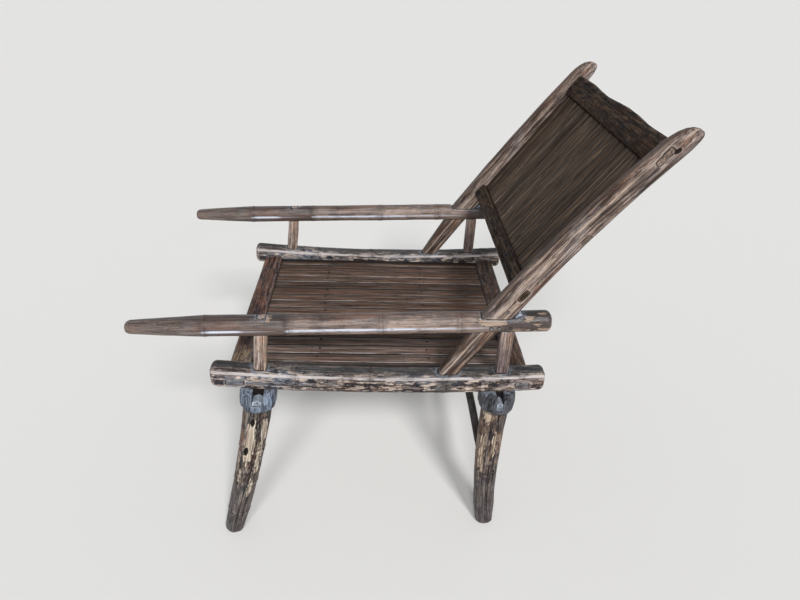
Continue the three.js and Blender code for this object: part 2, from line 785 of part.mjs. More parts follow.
function stileBody(side, grow) {
  const sections = [];
  const rounding = STILE_LENGTH - STILE_TIP;
  const steps = Math.ceil(rounding / RING_SPACING);
  sections.push(stileSection(side, -STILE_DEPTH, 1, grow));
  for (let i = 0; i <= steps; i += 1) {
    sections.push(stileSection(side, (rounding * i) / steps, 1, grow));
  }
  for (let i = 1; i <= TIP_RINGS; i += 1) {
    const turn = (Math.PI / 2) * (i / (TIP_RINGS + 1 / 2));
    const height = rounding + STILE_TIP * Math.sin(turn);
    sections.push(stileSection(side, height, Math.cos(turn) ** TIP_POWER, grow));
  }
  return placed(bar('z', sections, STILE_SQUARENESS, STILE_SIDES), backFrame);
}

// The thinner foot that goes down through the arm into the rail.
function stileFoot(side, grow) {
  const topRear = STILE_REAR - FOOT_RELIEF;
  const stations = [
    [-footReach - FOOT_HOLD - grow, FOOT_TIP_FRONT, FOOT_TIP_REAR],
    [-FOOT_NECK_DROP, FOOT_NECK_FRONT, FOOT_NECK_REAR],
    [0, FOOT_TOP_FRONT, topRear],
    [STILE_DEPTH, FOOT_TOP_FRONT, topRear],
  ];
  const sections = stations.map(([place, front, rear]) => ({
    place,
    width: FOOT_WIDTH + 2 * grow,
    depth: front + rear + 2 * grow,
    across: side.x,
    up: (rear - front) / 2,
  }));
  return placed(bar('z', sections, FOOT_SQUARENESS, CULM_SIDES), backFrame);
}

// The flat saddle in the top of the arm, as far as the stile's shoulder reaches over it.
function saddle(side, height) {
  const frontEdge = height / Math.tan(BACK_ANGLE) + (STILE_REAR - STILE_DEPTH) / Math.sin(BACK_ANGLE);
  const rearEdge = ARM_DEPTH / 2 / Math.tan(BACK_ANGLE) + STILE_REAR / Math.sin(BACK_ANGLE);
  const middle = armFrame.worldToLocal(backFrame.localToWorld(new THREE.Vector3())).y;
  const low = new THREE.Vector3(side.x - ARM_WIDTH, middle + frontEdge - CLEARANCE, height);
  const high = new THREE.Vector3(side.x + ARM_WIDTH, middle + rearEdge + CLEARANCE, height + OVERRUN);
  return placed(block(low, high), armFrame);
}

// Everything under the shoulders of a stile.
function underShoulder(side) {
  const middle = armFrame.worldToLocal(backFrame.localToWorld(new THREE.Vector3())).y;
  const low = new THREE.Vector3(side.x - OVERRUN, middle - 2 * OVERRUN, -2 * OVERRUN);
  const high = new THREE.Vector3(side.x + OVERRUN, middle + 2 * OVERRUN, SADDLE_HEIGHT + CLEARANCE);
  return placed(block(low, high), armFrame);
}

// A wedge's outline tapers from its top to its tip, behind the rear face of the stile.
function wedgeBody(side, low, high, grow) {
  const slope = (WEDGE_THICKNESS - WEDGE_TIP_THICKNESS) / WEDGE_LENGTH;
  const front = STILE_REAR + CLEARANCE;
  const sections = [low, high].map((place) => {
    const thickness = WEDGE_THICKNESS + slope * (place - WEDGE_TOP);
    return {
      place,
      width: FOOT_WIDTH + 2 * grow,
      depth: thickness + 2 * grow,
      across: side.x,
      up: front + thickness / 2,
    };
  });
  return placed(bar('z', sections, SAWN_SQUARENESS, PLANK_SIDES), backFrame);
}

function wedge(side) {
  return wedgeBody(side, WEDGE_TOP - WEDGE_LENGTH, WEDGE_TOP, 0);
}

function wedgeSlot(side) {
  return wedgeBody(side, WEDGE_TOP - WEDGE_LENGTH - CLEARANCE, WEDGE_TOP + OVERRUN, CLEARANCE);
}

// Back panel frame: its origin is in the bottom rail, and +Z runs to the top rail.
const panelHeight = STILE_LENGTH - TOP_RAIL_DROP - BOTTOM_RAIL_HEIGHT;
const panelTilt = -Math.atan2(TOP_RAIL_SET - BOTTOM_RAIL_SET, panelHeight);
const panelFrame = addFrame(backFrame, BOTTOM_RAIL_SET, BOTTOM_RAIL_HEIGHT, panelTilt);

const backRails = [
  {
    name: 'bottom',
    place: 0,
    width: BOTTOM_RAIL_WIDTH,
    wave: 0,
    tenon: BOTTOM_TENON_WIDTH,
    inner: 1,
  },
  {
    name: 'top',
    place: panelHeight,
    width: TOP_RAIL_WIDTH,
    wave: TOP_RAIL_WAVE,
    tenon: TOP_TENON_WIDTH,
    inner: -1,
  },
];

function backRailSections(rail) {
  const sections = [];
  const steps = rail.wave > 0 ? WAVE_STEPS : 1;
  for (let i = 0; i <= steps; i += 1) {
    const share = (2 * i) / steps - 1;
    const wave = rail.wave * Math.sin(share * 2 * Math.PI) * (1 - share ** 2);
    sections.push({
      place: share * railOffset,
      width: BACK_RAIL_DEPTH,
      depth: rail.width + wave,
      up: rail.place + wave / 2,
    });
  }
  return sections;
}

function backTenon(rail, side, start, end, grow) {
  const section = { width: BACK_TENON_DEPTH + 2 * grow, depth: rail.tenon + 2 * grow, up: rail.place };
  const ends = [side.sign * start, side.sign * end];
  return placed(straightBar('x', ...ends, section, SAWN_SQUARENESS, PLANK_SIDES), panelFrame);
}

const backSlatRear = BACK_SLAT_FACE + SLAT_THICKNESS;

function panelGroove(rail) {
  const reach = railOffset - STILE_WIDTH / 2;
  const inner = rail.place + rail.inner * (rail.width / 2 - TONGUE_LENGTH - CLEARANCE);
  const outer = inner + rail.inner * OVERRUN;
  const front = backSlatRear - TONGUE_THICKNESS - CLEARANCE;
  const low = new THREE.Vector3(-reach, front, Math.min(inner, outer));
  const high = new THREE.Vector3(reach, backSlatRear + CLEARANCE, Math.max(inner, outer));
  return placed(block(low, high), panelFrame);
}

function backRail(rail) {
  const body = placed(bar('x', backRailSections(rail), PLANK_SQUARENESS, CULM_SIDES), panelFrame);
  const scribed = cut(body, ...sides.map((side) => stileBody(side, CLEARANCE)));
  const tenons = sides.map((side) => {
    const long = backTenon(rail, side, railOffset - STILE_WIDTH, railOffset + STILE_WIDTH, 0);
    const outer = backTenon(rail, side, railOffset, railOffset + OVERRUN, CLEARANCE);
    return flush(long, outer, stileBody(side, 0));
  });
  return cut(join(scribed, ...tenons), panelGroove(rail));
}

// The batten behind the back slats runs through both stiles.
function backBattenBar(start, end, grow) {
  const section = {
    width: BACK_BATTEN_DEPTH + 2 * grow,
    depth: BACK_BATTEN_WIDTH + 2 * grow,
    across: backSlatRear + CLEARANCE + BACK_BATTEN_DEPTH / 2,
    up: BACK_BATTEN_HEIGHT,
  };
  return placed(straightBar('x', start, end, section, SAWN_SQUARENESS, PLANK_SIDES), panelFrame);
}

function backBatten() {
  const reach = railOffset + STILE_WIDTH;
  let batten = backBattenBar(-reach, reach, 0);
  for (const side of sides) {
    const outer = backBattenBar(side.x, side.sign * (railOffset + OVERRUN), CLEARANCE);
    batten = flush(batten, outer, stileBody(side, 0));
  }
  return batten;
}

function backSlat(index) {
  const clear = RAIL_SPACING - STILE_WIDTH - SLAT_GAP;
  const pitch = clear / BACK_SLAT_COUNT;
  const middle = (index + 1 / 2) * pitch - clear / 2;
  const start = BOTTOM_RAIL_WIDTH / 2 + CLEARANCE;
  const end = panelHeight - TOP_RAIL_WIDTH / 2 - CLEARANCE;
  const rings = slatRings(start, end, pitch - SLAT_GAP, slatNodeShare(index));
  const points = rings.map((ring) => ring.map((p) => (
    new THREE.Vector3(middle + p.across, backSlatRear - p.up, p.place))));
  return placed(skin(points), panelFrame);
}

function stile(side) {
  const shouldered = cut(stileBody(side, 0), underShoulder(side));
  const whole = join(shouldered, stileFoot(side, 0));
  const mortises = backRails.map((rail) => (
    backTenon(rail, side, railOffset - STILE_WIDTH, railOffset + OVERRUN, CLEARANCE)));
  const reach = railOffset + OVERRUN;
  return cut(whole, ...mortises, backBattenBar(-reach, reach, CLEARANCE));
}

function seatRail(side) {
  const mortises = [
    ...crossrails.map((rail) => (
      crossTenon(rail, side, railOffset - RAIL_WIDTH, railOffset + OVERRUN, CLEARANCE))),
    ...corners.map((corner) => postBody(corner, side, CLEARANCE)),
    ...battens.map((batten) => battenBody(batten, CLEARANCE)),
    stileFoot(side, CLEARANCE),
  ];
  return cut(railBody(side, 0), ...mortises);
}

function arm(side) {
  return cut(
    armBody(side, 0),
    ...corners.map((corner) => postTenon(corner, side, CLEARANCE)),
    saddle(side, SADDLE_HEIGHT),
    stileFoot(side, CLEARANCE),
    wedgeSlot(side),
  );
}

// The chair, put together from the seat up.
for (const side of sides) {
  addPiece(seatFrame, `${side.name}_seat_rail`, seatRail(side), finishes.rail);
}
for (const rail of crossrails) {
  addPiece(seatFrame, `${rail.name}_seat_crossrail`, crossrail(rail), finishes.crossrail);
}
for (const batten of battens) {
  addPiece(seatFrame, `${batten.name}_seat_batten`, battenBody(batten, 0), finishes.batten);
}
for (let i = 0; i < SEAT_SLAT_COUNT; i += 1) {
  addPiece(seatFrame, `seat_slat_${i + 1}`, seatSlat(i), finishes.seatSlat);
}
for (const side of sides) {
  for (const corner of corners) {
    addPiece(chair, `${corner.name}_${side.name}_leg`, leg(corner, side), finishes.leg);
    addPiece(corner.frame, `${corner.name}_${side.name}_post`, post(corner, side), finishes.post);
    addPiece(corner.frame, `${corner.name}_${side.name}_leg_key`, legKey(corner, side), finishes.key);
  }
  addPiece(armFrame, `${side.name}_arm`, arm(side), finishes.arm);
}
addPiece(chair, 'rear_leg_stretcher', stretcherBody(0), finishes.rail);
for (const side of sides) {
  addPiece(backFrame, `${side.name}_back_stile`, stile(side), finishes.stile);
  addPiece(backFrame, `${side.name}_stile_wedge`, wedge(side), finishes.key);
}
for (const rail of backRails) {
  addPiece(panelFrame, `back_${rail.name}_rail`, backRail(rail), finishes.backRail);
}
addPiece(panelFrame, 'back_batten', backBatten(), finishes.batten);
for (let i = 0; i < BACK_SLAT_COUNT; i += 1) {
  addPiece(panelFrame, `back_slat_${i + 1}`, backSlat(i), finishes.backSlat);
}

// The origin goes to the middle of the chair's depth.
chair.updateMatrixWorld(true);
const reachBox = new THREE.Box3().setFromObject(chair, true);
chair.position.y = -(reachBox.min.y + reachBox.max.y) / 2;
chair.updateMatrixWorld(true);

export default chair;
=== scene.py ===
"""The looks of a bamboo recliner: bowed culms, split slats and a back that lifts out of its slots.

Everything is in metres in the chair's own frame: +Z up, -Y the way the sitter faces, and +X to the
sitter's left. The sections follow the chair as it is put together, from the seat rails to the pegs.
"""

import itertools
import json
import math

import bmesh
import bpy
import numpy as np
from mathutils import Euler, Matrix, Vector
from mathutils.bvhtree import BVHTree

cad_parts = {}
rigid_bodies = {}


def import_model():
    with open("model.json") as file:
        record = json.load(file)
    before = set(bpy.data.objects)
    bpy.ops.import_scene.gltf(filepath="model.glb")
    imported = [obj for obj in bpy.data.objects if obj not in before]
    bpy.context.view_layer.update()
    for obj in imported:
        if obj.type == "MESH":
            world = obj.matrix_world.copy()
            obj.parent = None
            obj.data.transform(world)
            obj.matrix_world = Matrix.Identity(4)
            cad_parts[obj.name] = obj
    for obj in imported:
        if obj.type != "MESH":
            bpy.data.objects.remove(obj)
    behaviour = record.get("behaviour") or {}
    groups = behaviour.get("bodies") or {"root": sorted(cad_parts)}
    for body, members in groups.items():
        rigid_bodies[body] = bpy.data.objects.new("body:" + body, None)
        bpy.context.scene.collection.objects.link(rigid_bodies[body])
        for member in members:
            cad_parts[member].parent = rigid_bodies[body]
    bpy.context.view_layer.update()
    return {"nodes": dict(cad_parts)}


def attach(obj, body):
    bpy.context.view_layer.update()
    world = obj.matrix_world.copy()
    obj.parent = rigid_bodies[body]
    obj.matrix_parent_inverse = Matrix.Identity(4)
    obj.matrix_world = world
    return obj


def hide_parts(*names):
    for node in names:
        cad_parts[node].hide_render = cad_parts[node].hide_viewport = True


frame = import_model()

# Camera. It stands to the left of the chair, above the height of the back, and looks down at the
# near arm with a lens that is a little wide.
CAMERA_PLACE = (1.2335, -0.0132, 1.1727)
CAMERA_TURN_DEGREES = (59.2162, 0.8264, 88.2574)
CAMERA_FOCAL_LENGTH = 27.9
CAMERA_CLIP = (0.02, 100)


def add_object(name, data):
    thing = bpy.data.objects.new(name, data)
    bpy.context.scene.collection.objects.link(thing)
    return thing


def turned(*degrees):
    """A turn about the three axes."""
    return Euler([math.radians(angle) for angle in degrees])


camera = add_object("camera", bpy.data.cameras.new("camera"))
camera.location = CAMERA_PLACE
camera.rotation_euler = turned(*CAMERA_TURN_DEGREES)
camera.data.lens = CAMERA_FOCAL_LENGTH
camera.data.clip_start, camera.data.clip_end = CAMERA_CLIP
bpy.context.scene.camera = camera
bpy.context.scene.view_settings.view_transform = "Standard"

# Floor and light. The chair stands on a pale floor without an edge. Two soft lamps on the sitter's left
# light it from a low angle, one a little behind the chair, so the shadows of the legs cross behind them.
FLOOR_SIZE = 80
FLOOR_COLOUR = (0.747, 0.738, 0.716)
SKY_LOW_COLOUR = (0.98, 1.0, 1.03)
SKY_HIGH_COLOUR = (0.17, 0.175, 0.185)
SKY_BAND = (0.15, 0.75)
BACKDROP_COLOUR = (0.752, 0.752, 0.738)
LAMPS = {
    "rear_lamp": {"height": 40, "bearing": 19, "strength": 2.2, "spread": 11},
    "front_lamp": {"height": 40, "bearing": -6, "strength": 1.1, "spread": 13},
}


def add_mesh(name, points, faces):
    mesh = bpy.data.meshes.new(name)
    mesh.from_pydata([tuple(point) for point in points], [], faces)
    mesh.update()
    return add_object(name, mesh)


class Wire:
    """One output of a node. Reckoning with it adds Math nodes to its tree."""

    def __init__(self, socket):
        self.socket = socket
        self.tree = socket.id_data

    def __add__(self, other):
        return reckoned("ADD", self, other)

    def __sub__(self, other):
        return reckoned("SUBTRACT", self, other)

    def __rsub__(self, other):
        return reckoned("SUBTRACT", other, self)

    def __mul__(self, other):
        return reckoned("MULTIPLY", self, other)

    def __abs__(self):
        return reckoned("ABSOLUTE", self)

    def most(self, other):
        return reckoned("MAXIMUM", self, other)


class Wires:
    """The outputs of a node, by name or by number."""

    def __init__(self, node):
        self.node = node

    def __getitem__(self, key):
        return Wire(self.node.outputs[key])


def set_inputs(node, inputs):
    """Sets or links the inputs of a node."""
    for key, value in inputs.items():
        if isinstance(value, Wire):
            value.tree.links.new(value.socket, node.inputs[key])
        else:
            node.inputs[key].default_value = value


def add_node(tree, kind, inputs=None, **settings):
    """A node with its settings and inputs. Returns its outputs."""
    node = tree.nodes.new(kind)
    for key, value in settings.items():
        setattr(node, key, value)
    set_inputs(node, inputs or {})
    return Wires(node)


def tree_of(*values):
    """The tree of the first wire among some values."""
    return next(value.tree for value in values if isinstance(value, Wire))


def reckoned(operation, *values):
    """The output of a Math node."""
    return add_node(tree_of(*values), "ShaderNodeMath", dict(enumerate(values)), operation=operation)[0]


def axes(vector):
    """The three parts of a vector."""
    parts = add_node(vector.tree, "ShaderNodeSeparateXYZ", {0: vector})
    return parts[0], parts[1], parts[2]


def rise(value, low, high, steps="SMOOTHSTEP"):
    """0 below low, 1 above high, and a step between."""
    inputs = {"Value": value, "From Min": low, "From Max": high}
    return add_node(value.tree, "ShaderNodeMapRange", inputs, interpolation_type=steps)[0]


def mixed(share, first, second, blend="MIX"):
    """Two colours mixed. Each is a wire or three numbers."""
    first, second = (c if isinstance(c, Wire) else (*c, 1) for c in (first, second))
    inputs = {0: share, 6: first, 7: second}
    tree = tree_of(share, first, second)
    return add_node(tree, "ShaderNodeMix", inputs, data_type="RGBA", blend_type=blend)[2]


def new_material(name):
    material = bpy.data.materials.new(name)
    material.use_nodes = True
    return material, material.node_tree


half = FLOOR_SIZE / 2
floor_corners = [(x * half, y * half, 0) for x, y in ((-1, -1), (1, -1), (1, 1), (-1, 1))]
floor = add_mesh("floor", floor_corners, [(0, 1, 2, 3)])
floor_paint, floor_tree = new_material("floor_paint")
floor_inputs = {"Base Color": (*FLOOR_COLOUR, 1), "Roughness": 1.0, "Specular IOR Level": 0.0}
set_inputs(floor_tree.nodes["Principled BSDF"], floor_inputs)
floor.data.materials.append(floor_paint)

sky = bpy.data.worlds.new("sky")
sky.use_nodes = True
sky_height = axes(add_node(sky.node_tree, "ShaderNodeTexCoord")["Generated"])[2]
sky_colour = mixed(rise(sky_height, *SKY_BAND, "LINEAR"), SKY_LOW_COLOUR, SKY_HIGH_COLOUR)
sky_seen = add_node(sky.node_tree, "ShaderNodeLightPath")["Is Camera Ray"]
set_inputs(sky.node_tree.nodes["Background"], {"Color": mixed(sky_seen, sky_colour, BACKDROP_COLOUR)})
bpy.context.scene.world = sky
for name, values in LAMPS.items():
    lamp = add_object(name, bpy.data.lights.new(name, "SUN"))
    lamp.data.energy = values["strength"]
    lamp.data.angle = math.radians(values["spread"])
    lamp.rotation_euler = turned(0, 90 - values["height"], values["bearing"])


# Seat rails. Two heavy bamboo culms that have sagged towards the middle, darkened by age and handling.
# Everything else is tenoned into them. Their nodes are pared nearly flat, and their ends are sawn.
def tilted(place, degrees):
    """A frame at a place, turned about the width of the chair."""
    return Matrix.Translation(place) @ Matrix.Rotation(math.radians(degrees), 4, "X")


SEAT_FRAME = tilted((0, -0.3586, 0.445), -3.0519)
SIDES = {"left": 1, "right": -1}
HALF_SPAN = 0.527 / 2
RAIL_LENGTH = 0.648
RAIL_SAG = 0.012
RAIL_LOW = 0.002
CULM_CELL = 0.0017
RAIL_NODES = [share * RAIL_LENGTH for share in (0.25, 0.47, 0.7, 0.93)]
# Bands round each rail: painted highlights along its two upper edges, and a dull top.
RAIL_HIGHLIGHT_AND_DULL_BANDS = [(40, 8, 1.0), (140, 8, 0.8), (92, 40, -1.0)]
RAIL_TONES = [
    (0.0, 0), (0.095, 0), (0.11, 0.5), (0.15, 0.4), (0.18, 0), (0.43, 0), (0.438, -0.7),
    (0.462, -0.8), (0.475, 0),
]

# Which axes of a piece's frame go across it, up it and along it.
UPRIGHT, LENGTHWISE, CROSSWISE = (0, 1, 2), (0, 2, 1), (1, 2, 0)

# The relief of old bamboo: heights or depths, and the widths over which they come.
WELD_REACH = 1e-6
SMOOTHINGS = 2
LUMPS = ((0.00055, (55, 55, 18)), (0.00035, (170, 170, 30)), (0.00022, (420, 420, 16)))
NODE_DENT, NODE_HALF = 0.0008, 0.007
RING_WANDER, RING_SCALE = 0.0016, (70, 70, 1)
RING_HEIGHT, RING_STEP, RING_WIDTH = 0.00025, 0.002, 0.003
PEEL_DEPTH, PEEL_EDGE = 0.0007, 0.0015
PIT_DEPTH, PIT_EDGE = 0.0016, 0.0025
JOINT_REACH, JOINT_FADE = 0.03, 0.005
SHARPNESS = 0.016


def lumps(places, seed):
    """Smooth bumps from -1 to 1 over unit cells, the same on each run."""
    cell = np.floor(places).astype(np.int64)
    share = places - cell
    share = share * share * (3 - 2 * share)
    total = np.zeros(len(places))
    for corner in itertools.product((0, 1), repeat=3):
        key = (cell + corner) @ np.array([73856093, 19349663, 83492791]) + seed * 7919
        key = ((key ^ (key >> 13)) * 1274126177) & 0xFFFFFFFF
        height = ((key ^ (key >> 16)) & 0xFFFF) / 0x8000 - 1
        total += height * np.prod(np.where(corner, share, 1 - share), axis=1)
    return total


def neighbour_mean(values, edges, count):
    """Mean of each point's neighbours."""
    total = np.zeros_like(values)
    for here, beside in ((0, 1), (1, 0)):
        for column in range(values.shape[1]):
            weights = values[edges[:, beside], column]
            total[:, column] += np.bincount(edges[:, here], weights, len(values))
    return total / count[:, None]


def straight(along):
    """The bow of a piece that has none."""
    return 0 * along


def straightened(points, seat, order, middle, bow):
    """Places on a bowed piece as if it were straight: across it, up it and along it."""
    back = np.array(seat.inverted())
    local = points @ back[:3, :3].T + back[:3, 3]
    across, up, along = (local[:, axis] for axis in order)
    return np.stack([across - middle, up - bow(along), along], axis=1)


def gap_to_nodes(along, nodes):
    """Signed distance past the nearest node of the culm."""
    gaps = along[:, None] - np.array(nodes)[None, :]
    return gaps[np.arange(len(along)), np.argmin(np.abs(gaps), axis=1)]


def patch_depth(places, patches):
    """Distance inside the nearest patch, negative outside it."""
    depth = np.full(len(places), -1.0)
    for centre, half_size in patches:
        reach = np.linalg.norm((places - np.array(centre)) / np.array(half_size), axis=1)
        depth = np.maximum(depth, (1 - reach) * min(half_size[:2]))
    return depth


def mirrored(patches, sign):
    """Patches of a left piece, or the same ones on a right piece."""
    return [((sign * x, y, z), half_size) for (x, y, z), half_size in patches]


def baked(draft, name):
    """The mesh that an object's modifiers make. The object itself goes."""
    bpy.context.view_layer.update()
    mesh = bpy.data.meshes.new_from_object(draft.evaluated_get(bpy.context.evaluated_depsgraph_get()))
    bpy.data.objects.remove(draft)
    mesh.name = name
    return mesh


def fine_mesh(node, name, cell):
    """A solid of the frame, meshed anew in small even cells."""
    welded = bmesh.new()
    welded.from_mesh(frame["nodes"][node].data)
    bmesh.ops.remove_doubles(welded, verts=welded.verts, dist=WELD_REACH)
    draft_mesh = bpy.data.meshes.new(name + "_draft")
    welded.to_mesh(draft_mesh)
    welded.free()
    draft = add_object(name + "_draft", draft_mesh)
    cells = draft.modifiers.new("cells", "REMESH")
    cells.mode = "VOXEL"
    cells.voxel_size = cell
    return baked(draft, name)


def read(items, key, width, kind=float):
    """A property of all items of a mesh, one row for each."""
    values = np.empty(len(items) * width, dtype=kind)
    items.foreach_get(key, values)
    return values.reshape(-1, width)


def distance_to_others(node, points):
    """How far points of a piece are from the pieces round it."""
    others = bmesh.new()
    for other in frame["nodes"]:
        if other != node:
            others.from_mesh(frame["nodes"][other].data)
    around = BVHTree.FromBMesh(others)
    others.free()
    found = (around.find_nearest(point, JOINT_REACH)[3] for point in points)
    return np.array([1.0 if distance is None else distance for distance in found])


def finish_piece(piece, body, slot, material, *nodes):
    """Gives a piece its material and its body, and hides the solids that it stands for."""
    piece.data.materials.clear()
    piece.data.materials.append(material)
    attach(piece, body)
    if nodes:
        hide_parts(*nodes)


def worn_piece(
    node, name, body, slot, material, cell, seat, order, middle, bow=straight, nodes=(), rings=None,
    patches=(), pits=(), highlight_and_dull_bands=(), shine=((0, 1),), tones=((0, 0),), seed=1, wear=1.0,
):
    """A finely meshed copy of a solid, with the dents, bumps and scraped patches of old bamboo, and with
    painted highlights along its edges.

    Nodes are pared down, and those among the rings keep their mark. A patch or a pit is its centre and
    half size. A band is its angle up from +X, its width and its strength. One with a positive strength
    is a painted highlight along a rubbed edge, where the lamps would catch it, and one with a negative
    strength is a dull band. Shine is a place along the culm with the strength of the painted highlights
    there, and a tone is such a place with its shade, from -1 for dull to 1 for glowing."""
    mesh = fine_mesh(node, name, cell)
    points = read(mesh.vertices, "co", 3)
    edges = read(mesh.edges, "vertices", 2, np.int64)
    count = np.bincount(edges.ravel(), minlength=len(points)).astype(float)
    for _ in range(SMOOTHINGS):
        points = (points + neighbour_mean(points, edges, count)) / 2
    joint = np.exp(-distance_to_others(node, points) / JOINT_FADE)
    mesh.vertices.foreach_set("co", points.ravel())
    mesh.update()
    normals = read(mesh.vertices, "normal", 3)

    places = straightened(points, seat, order, middle, bow)
    along = places[:, 2]
    peel, pit = patch_depth(places, patches), patch_depth(places, pits)
    rough = sum(height * lumps(places * scale, seed + i) for i, (height, scale) in enumerate(LUMPS))
    if nodes:
        rough -= NODE_DENT * np.clip(1 - np.abs(gap_to_nodes(along, nodes)) / NODE_HALF, 0, 1)
    rings = nodes if rings is None else rings
    gap = np.full(len(points), 1.0)
    if rings:
        gap = gap_to_nodes(along, rings) + RING_WANDER * lumps(places * RING_SCALE, seed + 3)
        rough += RING_HEIGHT * np.exp(-(((gap + RING_STEP) / RING_WIDTH) ** 2))
        rough -= RING_HEIGHT * np.exp(-(((gap - RING_STEP) / RING_WIDTH) ** 2))
    rough -= PEEL_DEPTH * np.clip(peel / PEEL_EDGE, 0, 1) + PIT_DEPTH * np.clip(pit / PIT_EDGE, 0, 1)
    points = points + normals * (wear * rough * np.clip(1.15 - 1.6 * joint, 0, 1))[:, None]
    mesh.vertices.foreach_set("co", points.ravel())

    bend = np.sum((points - neighbour_mean(points, edges, count)) * normals, axis=1)
    sharp = np.clip(bend[:, None] / cell**2 * SHARPNESS, -1, 1)
    sharp = (sharp + neighbour_mean(sharp, edges, count)) / 2
    turn = np.degrees(np.arctan2(places[:, 1], places[:, 0]))
    highlight_strength, tone = np.interp(along, *zip(*shine)), np.interp(along, *zip(*tones))
    # Bands with a positive strength paint a highlight along an edge of the section, where the lamps
    # would catch it; those with a negative strength pull the tone towards dull instead.
    painted_highlight = np.zeros(len(points))
    for angle, width, strength in highlight_and_dull_bands:
        band = strength * np.exp(-((((turn - angle + 180) % 360 - 180) / width) ** 2))
        painted_highlight = np.maximum(painted_highlight, band * highlight_strength)
        tone = tone + np.minimum(band, 0)
    mesh.attributes.new("fibre", "FLOAT_VECTOR", "POINT").data.foreach_set("vector", places.ravel())
    fields = dict(node_gap=gap, joint=joint, wear=sharp[:, 0], peel=peel, pit=pit, painted_highlight=painted_highlight)
    fields["tone"] = tone
    for label, values in fields.items():
        mesh.attributes.new(label, "FLOAT", "POINT").data.foreach_set("value", values)
    mesh.polygons.foreach_set("use_smooth", np.ones(len(mesh.polygons), dtype=bool))
    mesh.update()
    finish_piece(add_object(name, mesh), body, slot, material, node)


def combined(*parts):
    """A vector of wires and numbers."""
    return add_node(tree_of(*parts), "ShaderNodeCombineXYZ", dict(enumerate(parts)))[0]


def vector_sum(operation, vector, other):
    """The output of a Vector Math node."""
    return add_node(vector.tree, "ShaderNodeVectorMath", {0: vector, 1: other}, operation=operation)[0]


def noise(vector, scale, detail=2.0, rough=0.55, output="Fac"):
    place = vector_sum("MULTIPLY", vector, scale)
    inputs = {"Vector": place, "Scale": 1.0, "Detail": detail, "Roughness": rough}
    return add_node(vector.tree, "ShaderNodeTexNoise", inputs)[output]


def new_group(name, inputs, outputs):
    """An empty shader group with its sockets. Returns it with its inputs and its output node."""
    tree = bpy.data.node_groups.new(name, "ShaderNodeTree")
    for label, kind, value in (("Fibre", "Vector", (0, 0, 0)), *inputs):
        socket = tree.interface.new_socket(label, in_out="INPUT", socket_type="NodeSocket" + kind)
        socket.default_value = value
    for label in outputs:
        tree.interface.new_socket(label, in_out="OUTPUT", socket_type="NodeSocketFloat")
    return tree, Wires(tree.nodes.new("NodeGroupInput")), tree.nodes.new("NodeGroupOutput")


GRAIN_OUTPUTS = "Streaks Threads Blotches Tints Flakes Stains Cracks Grooves Specks".split()
grain_tree, grain_in, grain_out = new_group("bamboo_grain", [("Seed", "Float", 0.0)], GRAIN_OUTPUTS)
grain_shift = combined(*[grain_in["Seed"] * (1.7 + i) for i in range(3)])
grain_place = vector_sum("ADD", grain_in["Fibre"], grain_shift)
grain = {}
for label, scale, detail, rough in (
    ("Streaks", (210, 210, 9), 5.0, 0.7),
    ("Threads", (560, 560, 17), 3.0, 0.65),
    ("Blotches", (34, 34, 13), 5.0, 0.7),
    ("Tints", (22, 22, 6), 3.0, 0.6),
):
    grain[label] = noise(grain_place, scale, detail, rough)
for label, shift, scale, low, high in (
    ("Flakes", (0.31, 0.17, 0.53), (100, 100, 36), 0.52, 0.545),
    ("Stains", (0.77, 0.41, 0.13), (75, 75, 34), 0.5, 0.545),
):
    grain[label] = rise(noise(vector_sum("ADD", grain_place, shift), scale, 7.0, 0.72), low, high)
for label, line_scale, where_scale, thin, wide in (
    ("Cracks", (240, 240, 5), (60, 60, 9), 0.004, 0.016),
    ("Grooves", (130, 130, 4), (40, 40, 6), 0.022, 0.042),
):
    off_line = abs(noise(grain_place, line_scale, 2.0, 0.5) - 0.5)
    grain[label] = (1.0 - rise(off_line, thin, wide)) * rise(noise(grain_place, where_scale), 0.46, 0.56)
grain["Specks"] = rise(noise(grain_place, (420, 420, 150), 3.0), 0.62, 0.7)
set_inputs(grain_out, grain)

peel_tree, peel_in, peel_out = new_group("scraped_patches", [("Peel", "Float", -1.0)], ["Mask", "Rim"])
peel_ragged = noise(peel_in["Fibre"], (260, 260, 60), 3.0, 0.6)
peel_depth = peel_in["Peel"] + (peel_ragged * 0.012 - 0.006)
peel_mask = rise(peel_depth, 0.0, 0.0006)
set_inputs(peel_out, {"Mask": peel_mask, "Rim": rise(peel_depth, -0.0016, 0.0) - peel_mask})

ring_tree, ring_in, ring_out = new_group("node_marks", [("Gap", "Float", 1.0)], ["Ring", "Shade"])
ring_gap = ring_in["Gap"] + (noise(ring_in["Fibre"], (130, 130, 20)) * 0.003 - 0.0015)
for label, middle, half in (("Ring", 0.0018, 0.0016), ("Shade", 0.0, 0.014)):
    set_inputs(ring_out, {label: 1.0 - rise(abs(ring_gap - middle), half * 0.3, half)})

dust_tree, dust_in, dust_out = new_group("joint_dust", [("Joint", "Float", 0.0)], ["Crevice", "Dust"])
dust_ragged = noise(dust_in["Fibre"], (160, 160, 110), 4.0, 0.7)
dust_crevice = rise(dust_in["Joint"] + (dust_ragged * 0.9 - 0.45), 0.72, 0.95)
dust_near = rise(dust_in["Joint"] + (dust_ragged * 2.2 - 1.15), 0.18, 0.42)
dust_above = rise(axes(add_node(dust_tree, "ShaderNodeNewGeometry")["Normal"])[2], -0.1, 0.6)
set_inputs(dust_out, {"Crevice": dust_crevice, "Dust": dust_near * dust_above})

